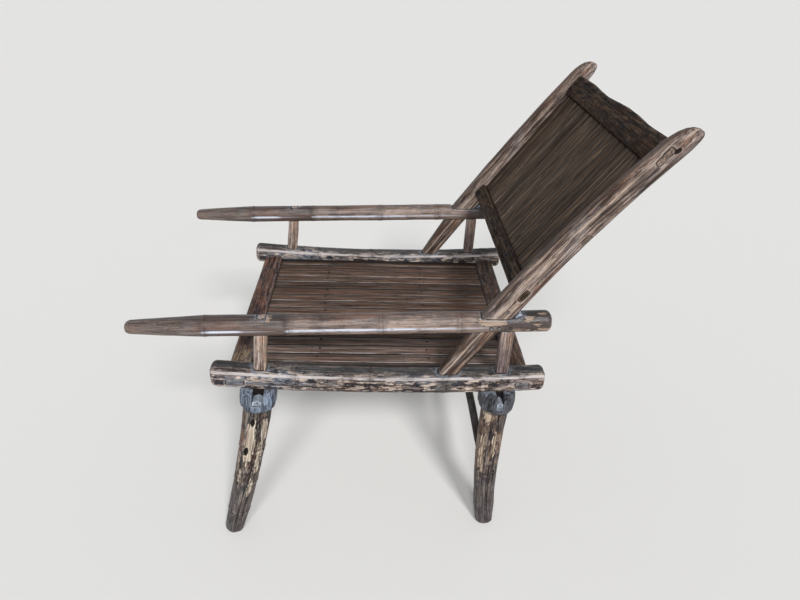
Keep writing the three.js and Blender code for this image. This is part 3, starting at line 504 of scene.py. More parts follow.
wear_tree, wear_in, wear_out = new_group("edge_wear", [("Wear", "Float", 0.0)], ["Worn", "Hollow"])
wear_ragged = noise(wear_in["Fibre"], (320, 320, 45), 4.0, 0.65)
wear_edge = rise(wear_in["Wear"] + (wear_ragged * 1.2 - 0.6), 0.3, 0.62)
set_inputs(wear_out, {"Worn": wear_edge, "Hollow": 1.0 - rise(wear_in["Wear"], -0.3, 0.02)})


def place_group(group, fibre, **inputs):
    """The outputs of a shader group."""
    return add_node(fibre.tree, "ShaderNodeGroup", {"Fibre": fibre} | inputs, node_tree=group)


def field(tree, name, output="Fac"):
    """A value that a piece carries at its points."""
    return add_node(tree, "ShaderNodeAttribute", attribute_name=name)[output]


def shades(value, colours, low, middle, high):
    """The dark, middle and light colour, one after another as a value rises."""
    colour = add_node(value.tree, "ShaderNodeValToRGB", {"Fac": value})["Color"]
    stops = colour.socket.node.color_ramp.elements
    stops[0].position, stops[0].color = low, (*colours["dark"], 1)
    stops[1].position, stops[1].color = high, (*colours["light"], 1)
    stops.new(middle).color = (*colours["middle"], 1)
    return colour


def layered(colour, colours, *layers):
    """A colour with others laid over it in turn, each with its share."""
    for share, other in layers:
        colour = mixed(share, colour, colours[other] if isinstance(other, str) else other)
    return colour


def surfaced(material, colour, rough, height, strength=0.5, depth=0.0005, others=None):
    """A material with its colour, roughness and bumps set."""
    tree = material.node_tree
    bump = add_node(tree, "ShaderNodeBump", {"Strength": strength, "Distance": depth, "Height": height})
    inputs = {"Base Color": colour, "Roughness": rough, "Normal": bump["Normal"]}
    set_inputs(tree.nodes["Principled BSDF"], inputs | (others or {}))
    return material


def culm_finish(name, seed, gloss, shine=0.14, colours=(), amounts=()):
    """Old bamboo skin: streaks in three shades, faded and reddened parts, scraped patches, edges
    lightened by wear, painted highlights along the edges, dark cracks and node rings, and dust in the
    joints. Colours and amounts are those of the rails where none are given."""
    colours, amounts = RAIL_COLOURS | dict(colours), RAIL_AMOUNTS | dict(amounts)
    material, tree = new_material(name)
    fibre = field(tree, "fibre", "Vector")
    grain = place_group(grain_tree, fibre, Seed=seed)
    peel = place_group(peel_tree, fibre, Peel=field(tree, "peel"))
    marks = place_group(ring_tree, fibre, Gap=field(tree, "node_gap"))
    dust = place_group(dust_tree, fibre, Joint=field(tree, "joint"))
    wear_and_highlight = place_group(wear_tree, fibre, Wear=field(tree, "wear"))
    tone, blotches = field(tree, "tone"), grain["Blotches"]
    plain = 1.0 - abs(tone)
    dulled = (tone * -1.0).most(0.0)
    threads = rise(grain["Threads"], 0.35, 0.65)
    thread_ends = [1 - 0.5 * amounts["threads"]] * 3, [1 + 0.4 * amounts["threads"]] * 3
    flaked = grain["Flakes"] * amounts["flakes"] * plain * rise(grain["Threads"], 0.3, 0.48)
    highlight_breaks = rise(blotches, amounts["breaks"] - 0.1, amounts["breaks"] + 0.06)
    dusty = dust["Dust"] * amounts["dust"]
    pit = rise(field(tree, "pit") + (blotches * 0.006 - 0.003), 0.0, 0.0012)
    lines = (grain["Grooves"] * amounts["grooves"]).most(grain["Cracks"] * amounts["cracks"])
    lines = lines.most(grain["Specks"] * amounts["specks"]) * (1.0 - peel["Mask"] * 0.8)
    dark = (dust["Crevice"] * amounts["crevice"]).most(wear_and_highlight["Hollow"] * 0.7).most(pit).most(lines)

    colour = layered(
        shades(grain["Streaks"], colours, 0.4, 0.49, 0.6),
        colours,
        (rise(blotches, 0.48, 0.6) * amounts["faded"], "faded"),
        (rise(grain["Tints"], 0.5, 0.62) * amounts["warm"], "warm"),
        (tone.most(0.0), "glow"),
        (dulled, "dull"),
    )
    colour = layered(
        mixed(1.0, colour, mixed(threads, *thread_ends), "MULTIPLY"),
        colours,
        (grain["Stains"] * amounts["stains"] * (1.0 - dulled * 0.6), "stain"),
        (flaked, mixed(threads, colours["scraped"], colours["bare"])),
        (wear_and_highlight["Worn"] * amounts["wear_and_highlight"] * plain, "wear_and_highlight"),
        # A painted highlight along edges of the section, broken in places.
        (rise(field(tree, "painted_highlight"), 0.25, 0.8) * highlight_breaks, "painted_highlight"),
        (peel["Mask"], mixed(rise(grain["Threads"], 0.4, 0.7), colours["scraped"], colours["bare"])),
        (peel["Rim"] * 0.8, "soot_and_shade"),
        (marks["Shade"] * amounts["node_shade"], "dark"),
        (marks["Ring"] * amounts["ring"], "soot_and_shade"),
        (dusty, "dust"),
        (dark, "soot_and_shade"),
    )
    rough = blotches * 0.35 + threads * -0.06 + dusty * 0.4 + peel["Mask"] * 0.15 + (gloss - 0.15)
    height = grain["Streaks"] + threads * 0.35 - dark * 1.1 - peel["Mask"] * 0.5
    return surfaced(material, colour, rough, height, 0.6, 0.0007, {"Specular IOR Level": shine})


# One of these colours is that of the painted highlights along the edges.
RAIL_COLOURS = dict(
    dark=(0.018, 0.013, 0.012), middle=(0.085, 0.062, 0.052), light=(0.24, 0.185, 0.155),
    faded=(0.19, 0.21, 0.245), warm=(0.12, 0.055, 0.035), wear_and_highlight=(0.42, 0.38, 0.35),
    painted_highlight=(0.45, 0.41, 0.4), glow=(0.17, 0.185, 0.215), dull=(0.075, 0.073, 0.072),
    stain=(0.012, 0.013, 0.02), scraped=(0.33, 0.25, 0.2), bare=(0.64, 0.535, 0.46),
    soot_and_shade=(0.009, 0.007, 0.006), dust=(0.25, 0.28, 0.33),
)
RAIL_AMOUNTS = dict(
    faded=0.6, warm=0.6, wear_and_highlight=0.5, stains=0.85, flakes=0.8, threads=1.0, node_shade=0.25, ring=0.12,
    dust=0.5, grooves=0.55, cracks=0.9, specks=0.5, breaks=0.46, crevice=0.8,
)


def rail_bow(along):
    """How far a rail's middle hangs under the straight line between its ends."""
    from_middle = 2 * along / RAIL_LENGTH - 1
    return -RAIL_LOW - RAIL_SAG * (1 - from_middle**2)


rail_skin = culm_finish("dark_rail_bamboo", 1.0, gloss=0.5, shine=0.08)
for side, sign in SIDES.items():
    worn_piece(
        f"{side}_seat_rail", f"{side}_rail_culm", "chair_frame", "rail_culm", rail_skin, CULM_CELL,
        SEAT_FRAME, LENGTHWISE, sign * HALF_SPAN, rail_bow, RAIL_NODES,
        highlight_and_dull_bands=RAIL_HIGHLIGHT_AND_DULL_BANDS, tones=RAIL_TONES, seed=10 + sign,
    )

# Crossrails of the seat. Flat bamboo bars, red-brown at the front and nearly black at the rear, with
# shoulders cut to the side rails and tenons that come through them.
CROSSRAIL_CELL = 0.0018
CROSSRAIL_COLOURS = dict(
    dark=(0.007, 0.0035, 0.0025), middle=(0.068, 0.03, 0.02), light=(0.22, 0.105, 0.07),
    faded=(0.1, 0.085, 0.072), warm=(0.15, 0.062, 0.038), wear_and_highlight=(0.4, 0.27, 0.2),
)
CROSSRAILS = {
    "front": dict(
        place=0.047, seed=21, flakes=0.1,
        tones=[(-0.272, -0.85), (-0.262, 0), (0.16, 0), (0.2, 0.75), (0.262, 0.75), (0.272, -0.85)],
        colours=dict(glow=(0.25, 0.185, 0.12), dull=(0.15, 0.165, 0.19)),
    ),
    "rear": dict(
        place=0.604, seed=22, flakes=0.9,
        tones=[(-0.272, 0.7), (-0.262, -0.5), (0.262, -0.5), (0.272, 0.7)],
        colours=dict(
            glow=(0.15, 0.165, 0.19), dull=(0.02, 0.015, 0.012), scraped=(0.11, 0.078, 0.05),
            bare=(0.26, 0.185, 0.12),
        ),
    ),
}
for corner, bar in CROSSRAILS.items():
    crossrail_skin = culm_finish(
        f"{corner}_crossrail_bamboo", 2.0, gloss=0.5, colours=CROSSRAIL_COLOURS | bar["colours"],
        amounts=dict(
            faded=0.2, warm=0.8, wear_and_highlight=0.6, dust=0.3, stains=0.6, threads=0.6, flakes=bar["flakes"]
        ),
    )
    worn_piece(
        f"{corner}_seat_crossrail", f"{corner}_crossrail_bar", "chair_frame", "red_brown_crossrail",
        crossrail_skin, CROSSRAIL_CELL, SEAT_FRAME, CROSSWISE, bar["place"],
        tones=bar["tones"], seed=bar["seed"],
    )

# Battens. Two raw split culms cross under the seat slats, and one crosses behind the back slats.
# They are hardly seen, so they keep the solids' shape and get a plain bamboo surface.
BATTEN_LIGHT = (0.17, 0.12, 0.085)
BATTEN_DARK = (0.06, 0.042, 0.032)
BATTEN_GRAIN = (6, 260, 260)


def plain_finish(name, dark, light, stretch, rough):
    """Bare wood with its grain along one axis of the chair."""
    material, tree = new_material(name)
    place = add_node(tree, "ShaderNodeTexCoord")["Object"]
    grain = noise(place, stretch, 4.0, 0.65)
    shade = noise(place, (14, 14, 14), 3.0) * 0.6 + grain
    return surfaced(material, mixed(rise(shade, 0.6, 1.0), dark, light), grain * 0.25 + rough, grain)


batten_wood = plain_finish("raw_batten_bamboo", BATTEN_DARK, BATTEN_LIGHT, BATTEN_GRAIN, rough=0.6)
for node in ("front_seat_batten", "rear_seat_batten", "back_batten"):
    frame["nodes"][node].data.materials.clear()
    frame["nodes"][node].data.materials.append(batten_wood)

# Seat slats. Sixteen strips split from thick culms, skin side up, with a tongue at each end that sits
# in a groove of the crossrail. No two are quite as high or as straight, and their nodes never line up.
SEAT_SLATS = {
    "Count": 16, "Pitch": 0.0302, "Length": 0.5124, "Nodes from": 0.2, "Nodes over": 0.6,
    "Node rise": 0.0005, "Lift": 0.0012, "Wander": 0.0007,
}
SEAT_SLAT_PLACE = (0, 0.0693, -0.015)
SLAT_WIDTH = 0.0286
SLAT_THICKNESS = 0.0068
SLAT_EDGE = 0.0045
SLAT_ROUNDING, SLAT_ROUNDING_POWER = 0.12, 12
TONGUE_THICKNESS = 0.0031
TONGUE_LENGTH = 0.0078
SHOULDER_OUT, SHOULDER_IN = 0.0002, 0.0004
SLAT_STEP = 0.004
SLAT_SKIN_POINTS = 9


def slat_blank(name, width, length):
    """One slat, along +Y, with its skin up and its underside at zero."""
    steps = round(length / SLAT_STEP)
    rings = [(-TONGUE_LENGTH, False), (-SHOULDER_OUT, False)]
    rings += [(SHOULDER_IN + (length - 2 * SHOULDER_IN) * i / steps, True) for i in range(steps + 1)]
    rings += [(length + SHOULDER_OUT, False), (length + TONGUE_LENGTH, False)]
    points, faces = [], []
    for along, full in rings:
        points += [(-width / 2, along, 0), (width / 2, along, 0)]
        for k in range(SLAT_SKIN_POINTS):
            share = 1 - 2 * k / (SLAT_SKIN_POINTS - 1)
            edge = 1 - SLAT_ROUNDING * abs(share) ** SLAT_ROUNDING_POWER
            crown = SLAT_EDGE + (SLAT_THICKNESS - SLAT_EDGE) * (1 - share**2)
            points.append((share * width / 2, along, crown * edge if full else TONGUE_THICKNESS))
    sides = SLAT_SKIN_POINTS + 2
    for start in range(0, (len(rings) - 1) * sides, sides):
        for k, beside in ((k, (k + 1) % sides) for k in range(sides)):
            faces.append((start + k, start + sides + k, start + sides + beside, start + beside))
    faces.append(tuple(range(sides)))
    faces.append(tuple(reversed(range((len(rings) - 1) * sides, len(rings) * sides))))
    blank = add_mesh(name, points, faces)
    fibre = blank.data.attributes.new("fibre", "FLOAT_VECTOR", "POINT")
    fibre.data.foreach_set("vector", np.array([(x, z, y) for x, y, z in points]).ravel())
    return blank


def new_shape_tree(name, sizes):
    """A Geometry Nodes tree with a named input for each size. Returns the same as new_group."""
    tree = bpy.data.node_groups.new(name, "GeometryNodeTree")
    kinds = {label: "Int" if isinstance(value, int) else "Float" for label, value in sizes.items()}
    for label, kind in ({"Geometry": "Geometry"} | kinds | {"Material": "Material"}).items():
        tree.interface.new_socket(label, in_out="INPUT", socket_type="NodeSocket" + kind)
    tree.interface.new_socket("Geometry", in_out="OUTPUT", socket_type="NodeSocketGeometry")
    return tree, Wires(tree.nodes.new("NodeGroupInput")), tree.nodes.new("NodeGroupOutput")


def shaped(geometry, kind, inputs=None, **settings):
    """A geometry after one more node."""
    inputs = {"Geometry": geometry} | (inputs or {})
    return add_node(geometry.tree, "GeometryNode" + kind, inputs, **settings)[0]


def stored(geometry, name, value, domain="POINT"):
    """A geometry that carries one more value."""
    inputs = {"Name": name, "Value": value}
    return shaped(geometry, "StoreNamedAttribute", inputs, data_type="FLOAT", domain=domain)


def carried(tree, name, kind):
    """A value that the geometry carries."""
    return add_node(tree, "GeometryNodeInputNamedAttribute", {"Name": name}, data_type=kind)["Attribute"]


def instanced(points, shape, name, **others):
    """Copies of a shape on points, made real. Each carries its number."""
    inputs = {"Points": points, "Instance": shape} | others
    copies = add_node(points.tree, "GeometryNodeInstanceOnPoints", inputs)[0]
    number = add_node(points.tree, "GeometryNodeInputIndex")[0]
    return shaped(stored(copies, name, number, "INSTANCE"), "RealizeInstances")


def random_between(number, seed, low, high):
    """A value that is fixed for each number."""
    inputs = {2: low, 3: high, "ID": number, "Seed": seed}
    return add_node(number.tree, "FunctionNodeRandomValue", inputs, data_type="FLOAT")[1]


def slat_shaping():
    """The tree that sets slats in a row, each a little high or low and with its own node."""
    tree, given, out = new_shape_tree("slat_row", SEAT_SLATS)
    line_inputs = {
        "Count": given["Count"],
        "Start Location": combined((given["Count"] - 1.0) * given["Pitch"] * -0.5),
        "Offset": combined(given["Pitch"]),
    }
    line = add_node(tree, "GeometryNodeMeshLine", line_inputs, mode="OFFSET")[0]
    row = instanced(line, given["Geometry"], "slat")
    number = carried(tree, "slat", "FLOAT")
    across, up, along = axes(carried(tree, "fibre", "FLOAT_VECTOR"))
    node_share = reckoned("FRACT", number * 0.618) * given["Nodes over"] + given["Nodes from"]
    gap = along - node_share * given["Length"]
    row = stored(row, "node_gap", gap)
    skin = rise(up, 0.003, 0.0045)
    bump = rise(abs(gap), 0.007, 0.001) * skin * given["Node rise"]
    inside = rise(along, 0.0, 0.04) * rise(given["Length"] - along, 0.0, 0.04)
    place = combined(number, along, across)
    sway = axes(noise(place, (9.7, 9.0, 30.0), 1.0, 0.5, "Color"))
    lift = random_between(number, 3, -1.0, 0.6) + (sway[0] * 2.0 - 1.0)
    lift = lift * given["Lift"] * 0.5 * (inside * skin)
    aside = (sway[1] * 2.0 - 1.0) * given["Wander"] * inside
    row = shaped(row, "SetPosition", {"Offset": combined(aside, 0.0, lift + bump)})
    row = shaped(row, "SetShadeSmooth")
    set_inputs(out, {0: shaped(row, "SetMaterial", {"Material": given["Material"]})})
    return tree


slat_tree = slat_shaping()


def grown(blank, tree, sizes, material, name, place):
    """The plain mesh that a Geometry Nodes tree makes of a blank, put in its place."""
    shaping = blank.modifiers.new("shaping", "NODES")
    shaping.node_group = tree
    values = sizes | {"Material": material}
    for item in tree.interface.items_tree:
        if item.in_out == "INPUT" and item.name in values:
            shaping[item.identifier] = values[item.name]
    mesh = baked(blank, name)
    mesh.transform(place)
    return add_object(name, mesh)


def slat_finish(name, seed, colours, amounts, gloss, shine):
    """Split-bamboo skin: each slat its own shade, with streaks, cracks, a node line, a painted highlight
    on one edge and painted shade on the other. Painted light changes the shade along the row, and the
    slats by the rails have a dark margin of painted shade and dirt."""
    material, tree = new_material(name)
    fibre, number = field(tree, "fibre", "Vector"), field(tree, "slat")
    across, up, _ = axes(fibre)
    grain = place_group(grain_tree, fibre, Seed=reckoned("MULTIPLY_ADD", number, 0.37, seed))
    marks = place_group(ring_tree, fibre, Gap=field(tree, "node_gap"))
    own = add_node(tree, "ShaderNodeTexWhiteNoise", {"W": number}, noise_dimensions="1D")["Value"]
    above = rise(up, 0.0, 0.0006)
    threads = rise(grain["Threads"], 0.35, 0.65)

    colour = shades(grain["Streaks"], colours, 0.38, 0.5, 0.64)
    colour = mixed(1.0, colour, mixed(own, colours["shaded"], colours["lit"]), "MULTIPLY")
    # Painted light: where the two end colours differ, the slats grow lighter and bluer towards the +X
    # end of the row, against the shadow of the arm.
    painted_row_light = mixed(rise(number, 8.0, 13.0), colours["first"], colours["last"])
    colour = layered(
        mixed(1.0, colour, painted_row_light, "MULTIPLY"),
        colours,
        (rise(grain["Blotches"], 0.5, 0.66) * amounts["faded"], "faded"),
        (rise(grain["Tints"], 0.48, 0.64) * amounts["warm"], "warm"),
    )
    colour = mixed(above, colours["inner"], colour)
    colour = mixed(1.0, colour, mixed(threads, [0.65] * 3, [1.3] * 3), "MULTIPLY")

    # A painted highlight along the +X edge of each slat, where its polished edge would catch the lamps,
    # faint on the -X edge; it shows on some slats at random and on the slats nearest the +X rail, broken
    # in places.
    rim = (1.0 - rise(SLAT_WIDTH / 2 - abs(across), 0.0003, 0.0011)) * rise(across, -0.02, 0.005)
    rim = rim * rise(grain["Blotches"], 0.38, 0.58) * rise(own, 0.3, 0.9).most(rise(number, 12.0, 13.0))
    # Painted shade: the sides of each slat and a margin along its -X edge are darkened, as in the gaps
    # between slats; the two end slats also get an outer margin of painted shade and dirt against the
    # rails.
    painted_gap_shade = (1.0 - rise(up, SLAT_EDGE - 0.0009, SLAT_EDGE - 0.0003)) * above
    gap_start = SLAT_WIDTH / 2 - amounts["gap"]
    painted_gap_shade = painted_gap_shade.most(rise(grain["Tints"] * 0.006 - across, gap_start, gap_start + 0.001))
    from_middle = number - (SEAT_SLATS["Count"] - 1) / 2
    outwards = rise(across * reckoned("SIGN", from_middle), -0.013, 0.0)
    painted_gap_shade = painted_gap_shade.most(rise(abs(from_middle), 7.0, 7.5) * outwards * amounts["corner"])
    dark = (grain["Cracks"] * amounts["cracks"]).most(grain["Specks"] * amounts["specks"])
    colour = layered(
        colour,
        colours,
        (rim * amounts["wear_and_highlight"], "wear_and_highlight"),
        (painted_gap_shade, "soot_and_shade"),
        (marks["Ring"] * 0.35, "soot_and_shade"),
        (dark, "soot_and_shade"),
    )
    rough = grain["Blotches"] * 0.3 + (gloss - 0.1)
    height = grain["Streaks"] + threads * 0.3 - dark
    return surfaced(material, colour, rough, height, others={"Specular IOR Level": shine})


# Besides the skin colours, these hold the darker and lighter factors of single slats, the end factors of
# the painted light along the row, the colour of the painted edge highlight, and a near black for cracks
# and the painted shade between slats.
SEAT_SLAT_COLOURS = dict(
    dark=(0.03, 0.019, 0.014), middle=(0.082, 0.058, 0.046), light=(0.165, 0.12, 0.096),
    shaded=(0.7, 0.63, 0.6), lit=(1.3, 1.22, 1.17), first=(0.95, 0.89, 0.84), last=(1.4, 1.48, 1.58),
    faded=(0.115, 0.098, 0.09), warm=(0.09, 0.043, 0.028), wear_and_highlight=(0.62, 0.6, 0.6),
    inner=(0.11, 0.082, 0.06), soot_and_shade=(0.008, 0.006, 0.005),
)
SEAT_SLAT_AMOUNTS = dict(
    faded=0.4, warm=0.4, wear_and_highlight=0.75, cracks=0.85, specks=0.4, gap=0.0024, corner=0.9
)
seat_slat_skin = slat_finish(
    "grey_brown_seat_slats", 3.0, SEAT_SLAT_COLOURS, SEAT_SLAT_AMOUNTS, gloss=0.5, shine=0.2
)
seat_slats = grown(
    slat_blank("seat_slat_blank", SLAT_WIDTH, SEAT_SLATS["Length"]),
    slat_tree, SEAT_SLATS, seat_slat_skin, "seat_slat_row",
    SEAT_FRAME @ Matrix.Translation(SEAT_SLAT_PLACE),
)
seat_slat_nodes = [f"seat_slat_{i + 1}" for i in range(SEAT_SLATS["Count"])]
finish_piece(seat_slats, "chair_frame", "seat_slat_skin", seat_slat_skin, *seat_slat_nodes)

# Legs. Each is a culm cut just above its root, so the thick root ring makes a collar under the rail.
# The skin is scraped and split below the collar, and the front legs reach forward on a curve.
LEG_WEAR = 1.5
LEG_CURVE = 1.3
COLLAR_HEIGHT = 0.048
LEG_TONES = [(0, -0.8), (0.14, -0.6), (0.2, 0)]
LEGS = {
    "front": dict(
        top=(-0.270136, 0.410476), set_in=0.003, reach=0.109, bow=0.002, seed=31,
        node_shares=(0.17, 0.4, 0.62),
        rings=(0.187,),
        patches=[
            ((0.024, -0.0045, 0.282), (0.02, 0.0115, 0.064)),
            ((0.018, 0.021, 0.312), (0.013, 0.0055, 0.034)),
            ((0.02, 0.018, 0.238), (0.012, 0.0045, 0.05)),
            ((0.024, 0.013, 0.15), (0.012, 0.0045, 0.032)),
            ((0.02, -0.014, 0.19), (0.012, 0.005, 0.02)),
        ],
        pits=[
            ((0.026, -0.003, 0.335), (0.009, 0.0052, 0.0135)),
            ((0.025, -0.0095, 0.256), (0.009, 0.0055, 0.0125)),
        ],
        colours=dict(glow=(0.18, 0.226, 0.3)),
    ),
    "rear": dict(
        top=(0.202288, 0.385596), set_in=0.001, reach=0.0095, bow=0.0085, seed=36,
        node_shares=(0.14, 0.35, 0.57),
        rings=(0.165,),
        patches=[
            ((0.022, -0.0155, 0.332), (0.014, 0.011, 0.024)),
            ((0.016, -0.0165, 0.235), (0.011, 0.005, 0.075)),
            ((0.024, 0.006, 0.255), (0.012, 0.006, 0.036)),
        ],
        pits=[((0.026, 0.012, 0.176), (0.008, 0.005, 0.004))],
        colours=dict(
            middle=(0.078, 0.055, 0.047), glow=(0.08, 0.089, 0.108), scraped=(0.29, 0.21, 0.155),
            bare=(0.56, 0.46, 0.355),
        ),
    ),
}
LEG_COLOURS = dict(
    dark=(0.012, 0.009, 0.01), middle=(0.06, 0.042, 0.036), light=(0.25, 0.165, 0.12),
    faded=(0.1, 0.095, 0.105), warm=(0.17, 0.075, 0.04), dull=(0.092, 0.086, 0.09),
    scraped=(0.35, 0.27, 0.21), bare=(0.72, 0.66, 0.54),
)
LEG_AMOUNTS = dict(
    faded=0.5, warm=0.5, wear_and_highlight=0.3, dust=0.7, flakes=0.3, stains=0.7, grooves=0.9, ring=0.2
)


def leg_bow(leg):
    """The curve of a leg's middle, from its top to the floor."""
    top_place, top_height = leg["top"]

    def middle(height):
        fall = np.clip(1 - height / top_height, 0, 1)
        forward = leg["reach"] * fall**LEG_CURVE + leg["bow"] * np.sin(math.pi * fall)
        return top_place - leg["set_in"] - forward

    return middle


for corner, leg in LEGS.items():
    top_height = leg["top"][1]
    collar_low = top_height - COLLAR_HEIGHT
    leg_skin = culm_finish(
        f"scraped_{corner}_leg_bamboo", 4.0, gloss=0.5, colours=LEG_COLOURS | leg["colours"],
        amounts=LEG_AMOUNTS,
    )
    for side, sign in SIDES.items():
        worn_piece(
            f"{corner}_{side}_leg", f"{corner}_{side}_leg_culm", "chair_frame", "leg_culm", leg_skin,
            CULM_CELL, Matrix.Identity(4), UPRIGHT, sign * HALF_SPAN, leg_bow(leg),
            [share * top_height for share in leg["node_shares"]], leg["rings"],
            mirrored(leg["patches"], sign), mirrored(leg["pits"], sign),
            tones=LEG_TONES + [(collar_low - 0.003, 0), (collar_low + 0.001, 0.9)],
            seed=leg["seed"] + sign, wear=LEG_WEAR,
        )

# Stretcher between the rear legs. A thin dark bar that is let into both legs above their middle.
# It stops them from spreading under the weight of the back.
STRETCHER_CELL = 0.0015
STRETCHER_FRAME = Matrix.Translation((0, 0.19, 0.148))
stretcher_skin = culm_finish(
    "black_stretcher_bamboo", 4.6, gloss=0.55, shine=0.06, colours=dict(dull=(0.01, 0.009, 0.009)),
    amounts=dict(flakes=0.12, stains=1.0, dust=0.15),
)
worn_piece(
    "rear_leg_stretcher", "rear_stretcher_bar", "chair_frame", "rail_culm", stretcher_skin,
    STRETCHER_CELL, STRETCHER_FRAME, CROSSWISE, 0, tones=[(0, -0.8)], seed=41,
)

# Posts. Flat bars scraped to bare bamboo. Each runs from the collar of its leg up through the rail into
# the arm: the front ones come right through, and the rear ones stop inside.
POST_CELL = 0.0012
POST_WEAR = 0.8
POSTS = {
    "front": dict(
        frame=tilted((0, -0.26696, 0.432246), -8.3), seed=51, tones=[(-0.018, -1), (-0.012, 0)]
    ),
    "rear": dict(
        frame=tilted((0, 0.203439, 0.407566), -3), seed=56,
        tones=[(-0.018, -1), (-0.012, 0), (0.0, 0.8), (0.074, 0.8), (0.079, 0.5)],
    ),
}
post_skin = culm_finish(
    "scraped_post_bamboo", 5.0, gloss=0.5,
    colours=dict(
        dark=(0.1, 0.06, 0.04), middle=(0.31, 0.215, 0.17), light=(0.54, 0.41, 0.32),
        faded=(0.35, 0.31, 0.31), warm=(0.38, 0.19, 0.1), wear_and_highlight=(0.5, 0.41, 0.34),
        dull=(0.012, 0.009, 0.008), glow=(0.14, 0.1, 0.098),
    ),
    amounts=dict(faded=0.4, wear_and_highlight=0.3, dust=0.4, flakes=0.2, stains=0.3),
)
for (corner, post), (side, sign) in itertools.product(POSTS.items(), SIDES.items()):
    worn_piece(
        f"{corner}_{side}_post", f"{corner}_{side}_post_bar", "chair_frame", "scraped_post", post_skin,
        POST_CELL, post["frame"], UPRIGHT, sign * HALF_SPAN,
        tones=post["tones"], seed=post["seed"] + sign, wear=POST_WEAR,
    )

# Leg keys. Small blocks of softwood, grey with dust, driven into the collar's notch under the rail.
# They keep the collar from splitting where the post stands in it.
KEY_CELL = 0.0007
key_wood = culm_finish(
    "dusty_softwood", 6.0, gloss=0.75,
    colours=dict(
        dark=(0.2, 0.22, 0.25), middle=(0.32, 0.35, 0.39), light=(0.46, 0.52, 0.6),
        faded=(0.38, 0.45, 0.55), warm=(0.3, 0.29, 0.28), wear_and_highlight=(0.55, 0.6, 0.66),
    ),
    amounts=dict(flakes=0.0, stains=0.25, wear_and_highlight=0.3, grooves=0.15),
)
for (corner, post), (side, sign) in itertools.product(POSTS.items(), SIDES.items()):
    worn_piece(
        f"{corner}_{side}_leg_key", f"{corner}_{side}_key_block", "chair_frame", "grey_soft_wood",
        key_wood, KEY_CELL, post["frame"], UPRIGHT, sign * HALF_SPAN, seed=61,
    )

# Arms. Long culms polished by hands, whittled to a narrow tip in front and cut square at the rear.
# A flat saddle and two slots at the rear take the foot of the back and its wedge.
ARM_FRAME = tilted((0, -0.4976, 0.5535), -0.9112)
ARM_LENGTH = 0.786
ARM_WEAR = 0.8
ARM_NODES = [share * ARM_LENGTH for share in (0.185, 0.38, 0.6, 0.785)]
ARM_TONES = [
    (0.0, -0.25), (0.142, -0.25), (0.148, -0.4), (0.26, -0.4), (0.297, -0.5), (0.3, 0.3), (0.36, 0.05),
    (0.45, 0.2), (0.472, 0.45), (0.6, 0.4), (0.68, 0.2), (0.7, -0.75), (0.786, -0.75),
]
# Bands round each arm: a painted blue-white highlight along the lower edge on the +X side, a weaker one
# on the -X side, and a dull top. The strengths that follow give the painted highlight along the arm,
# none at the tip.
ARM_HIGHLIGHT_AND_DULL_BANDS = [(-6, 9, 1.0), (186, 9, 0.55), (100, 34, -0.4)]
ARM_HIGHLIGHT_STRENGTHS = [
    (0.13, 0.0), (0.15, 1.0), (0.2, 0.95), (0.22, 0.5), (0.29, 0.35), (0.3, 1.0), (0.47, 1.0),
    (0.55, 0.75), (0.66, 0.5), (0.7, 0.25), (0.78, 0.1),
]
ARM_PATCHES = [
    ((0.018, -0.008, 0.77), (0.01, 0.0045, 0.018)),
    ((0.02, 0.003, 0.757), (0.01, 0.004, 0.008)),
    ((0.014, 0.013, 0.743), (0.009, 0.0038, 0.012)),
    ((0.004, 0.02, 0.768), (0.004, 0.01, 0.01)),
    ((0.019, -0.008, 0.722), (0.009, 0.004, 0.022)),
    ((0.017, 0.0115, 0.677), (0.014, 0.011, 0.028)),
    ((0.006, 0.019, 0.264), (0.01, 0.006, 0.006)),
]
ARM_PITS = [((-0.006, 0.02, 0.244), (0.009, 0.007, 0.005))]
# The blue-white among these colours is that of the painted highlight.
arm_skin = culm_finish(
    "polished_arm_bamboo", 7.0, gloss=0.38, shine=0.4,
    colours=dict(
        dark=(0.058, 0.037, 0.03), middle=(0.128, 0.084, 0.067), light=(0.235, 0.171, 0.142),
        faded=(0.195, 0.178, 0.174), warm=(0.18, 0.085, 0.055), wear_and_highlight=(0.34, 0.29, 0.26),
        painted_highlight=(0.55, 0.58, 0.67), glow=(0.43, 0.325, 0.268), dull=(0.033, 0.031, 0.032),
        scraped=(0.22, 0.15, 0.105), bare=(0.46, 0.35, 0.265),
    ),
    amounts=dict(
        faded=0.35, wear_and_highlight=0.3, stains=0.35, flakes=0.08, threads=0.6, node_shade=0.35, ring=0.4,
        dust=0.35, grooves=0.12, cracks=0.6, breaks=0.36,
    ),
)
for side, sign in SIDES.items():
    worn_piece(
        f"{side}_arm", f"{side}_arm_culm", "chair_frame", "polished_arm_culm", arm_skin, CULM_CELL,
        ARM_FRAME, LENGTHWISE, sign * HALF_SPAN, straight, ARM_NODES,
        patches=mirrored(ARM_PATCHES, sign), pits=mirrored(ARM_PITS, sign),
        highlight_and_dull_bands=ARM_HIGHLIGHT_AND_DULL_BANDS, shine=ARM_HIGHLIGHT_STRENGTHS, tones=ARM_TONES, seed=71 + sign, wear=ARM_WEAR,
    )

# Back stiles. Thick culms squared by the drawknife, glossy where heads and shoulders rub. Each sweeps
# back towards its whittled tip, and its thinner foot drops through the arm into the rail.
BACK_FRAME = tilted((0, 0.1874, 0.542605), -37)
STILE_LENGTH = 0.465
STILE_SWEEPS = {"left": 0.03, "right": 0.015}
SWEEP_START = 0.092
STILE_PITS = [((0.018, -0.003, 0.418), (0.02, 0.0048, 0.0075))]
STILE_TONES = [(-0.15, -0.45), (-0.03, -0.35), (0.0, 0)]


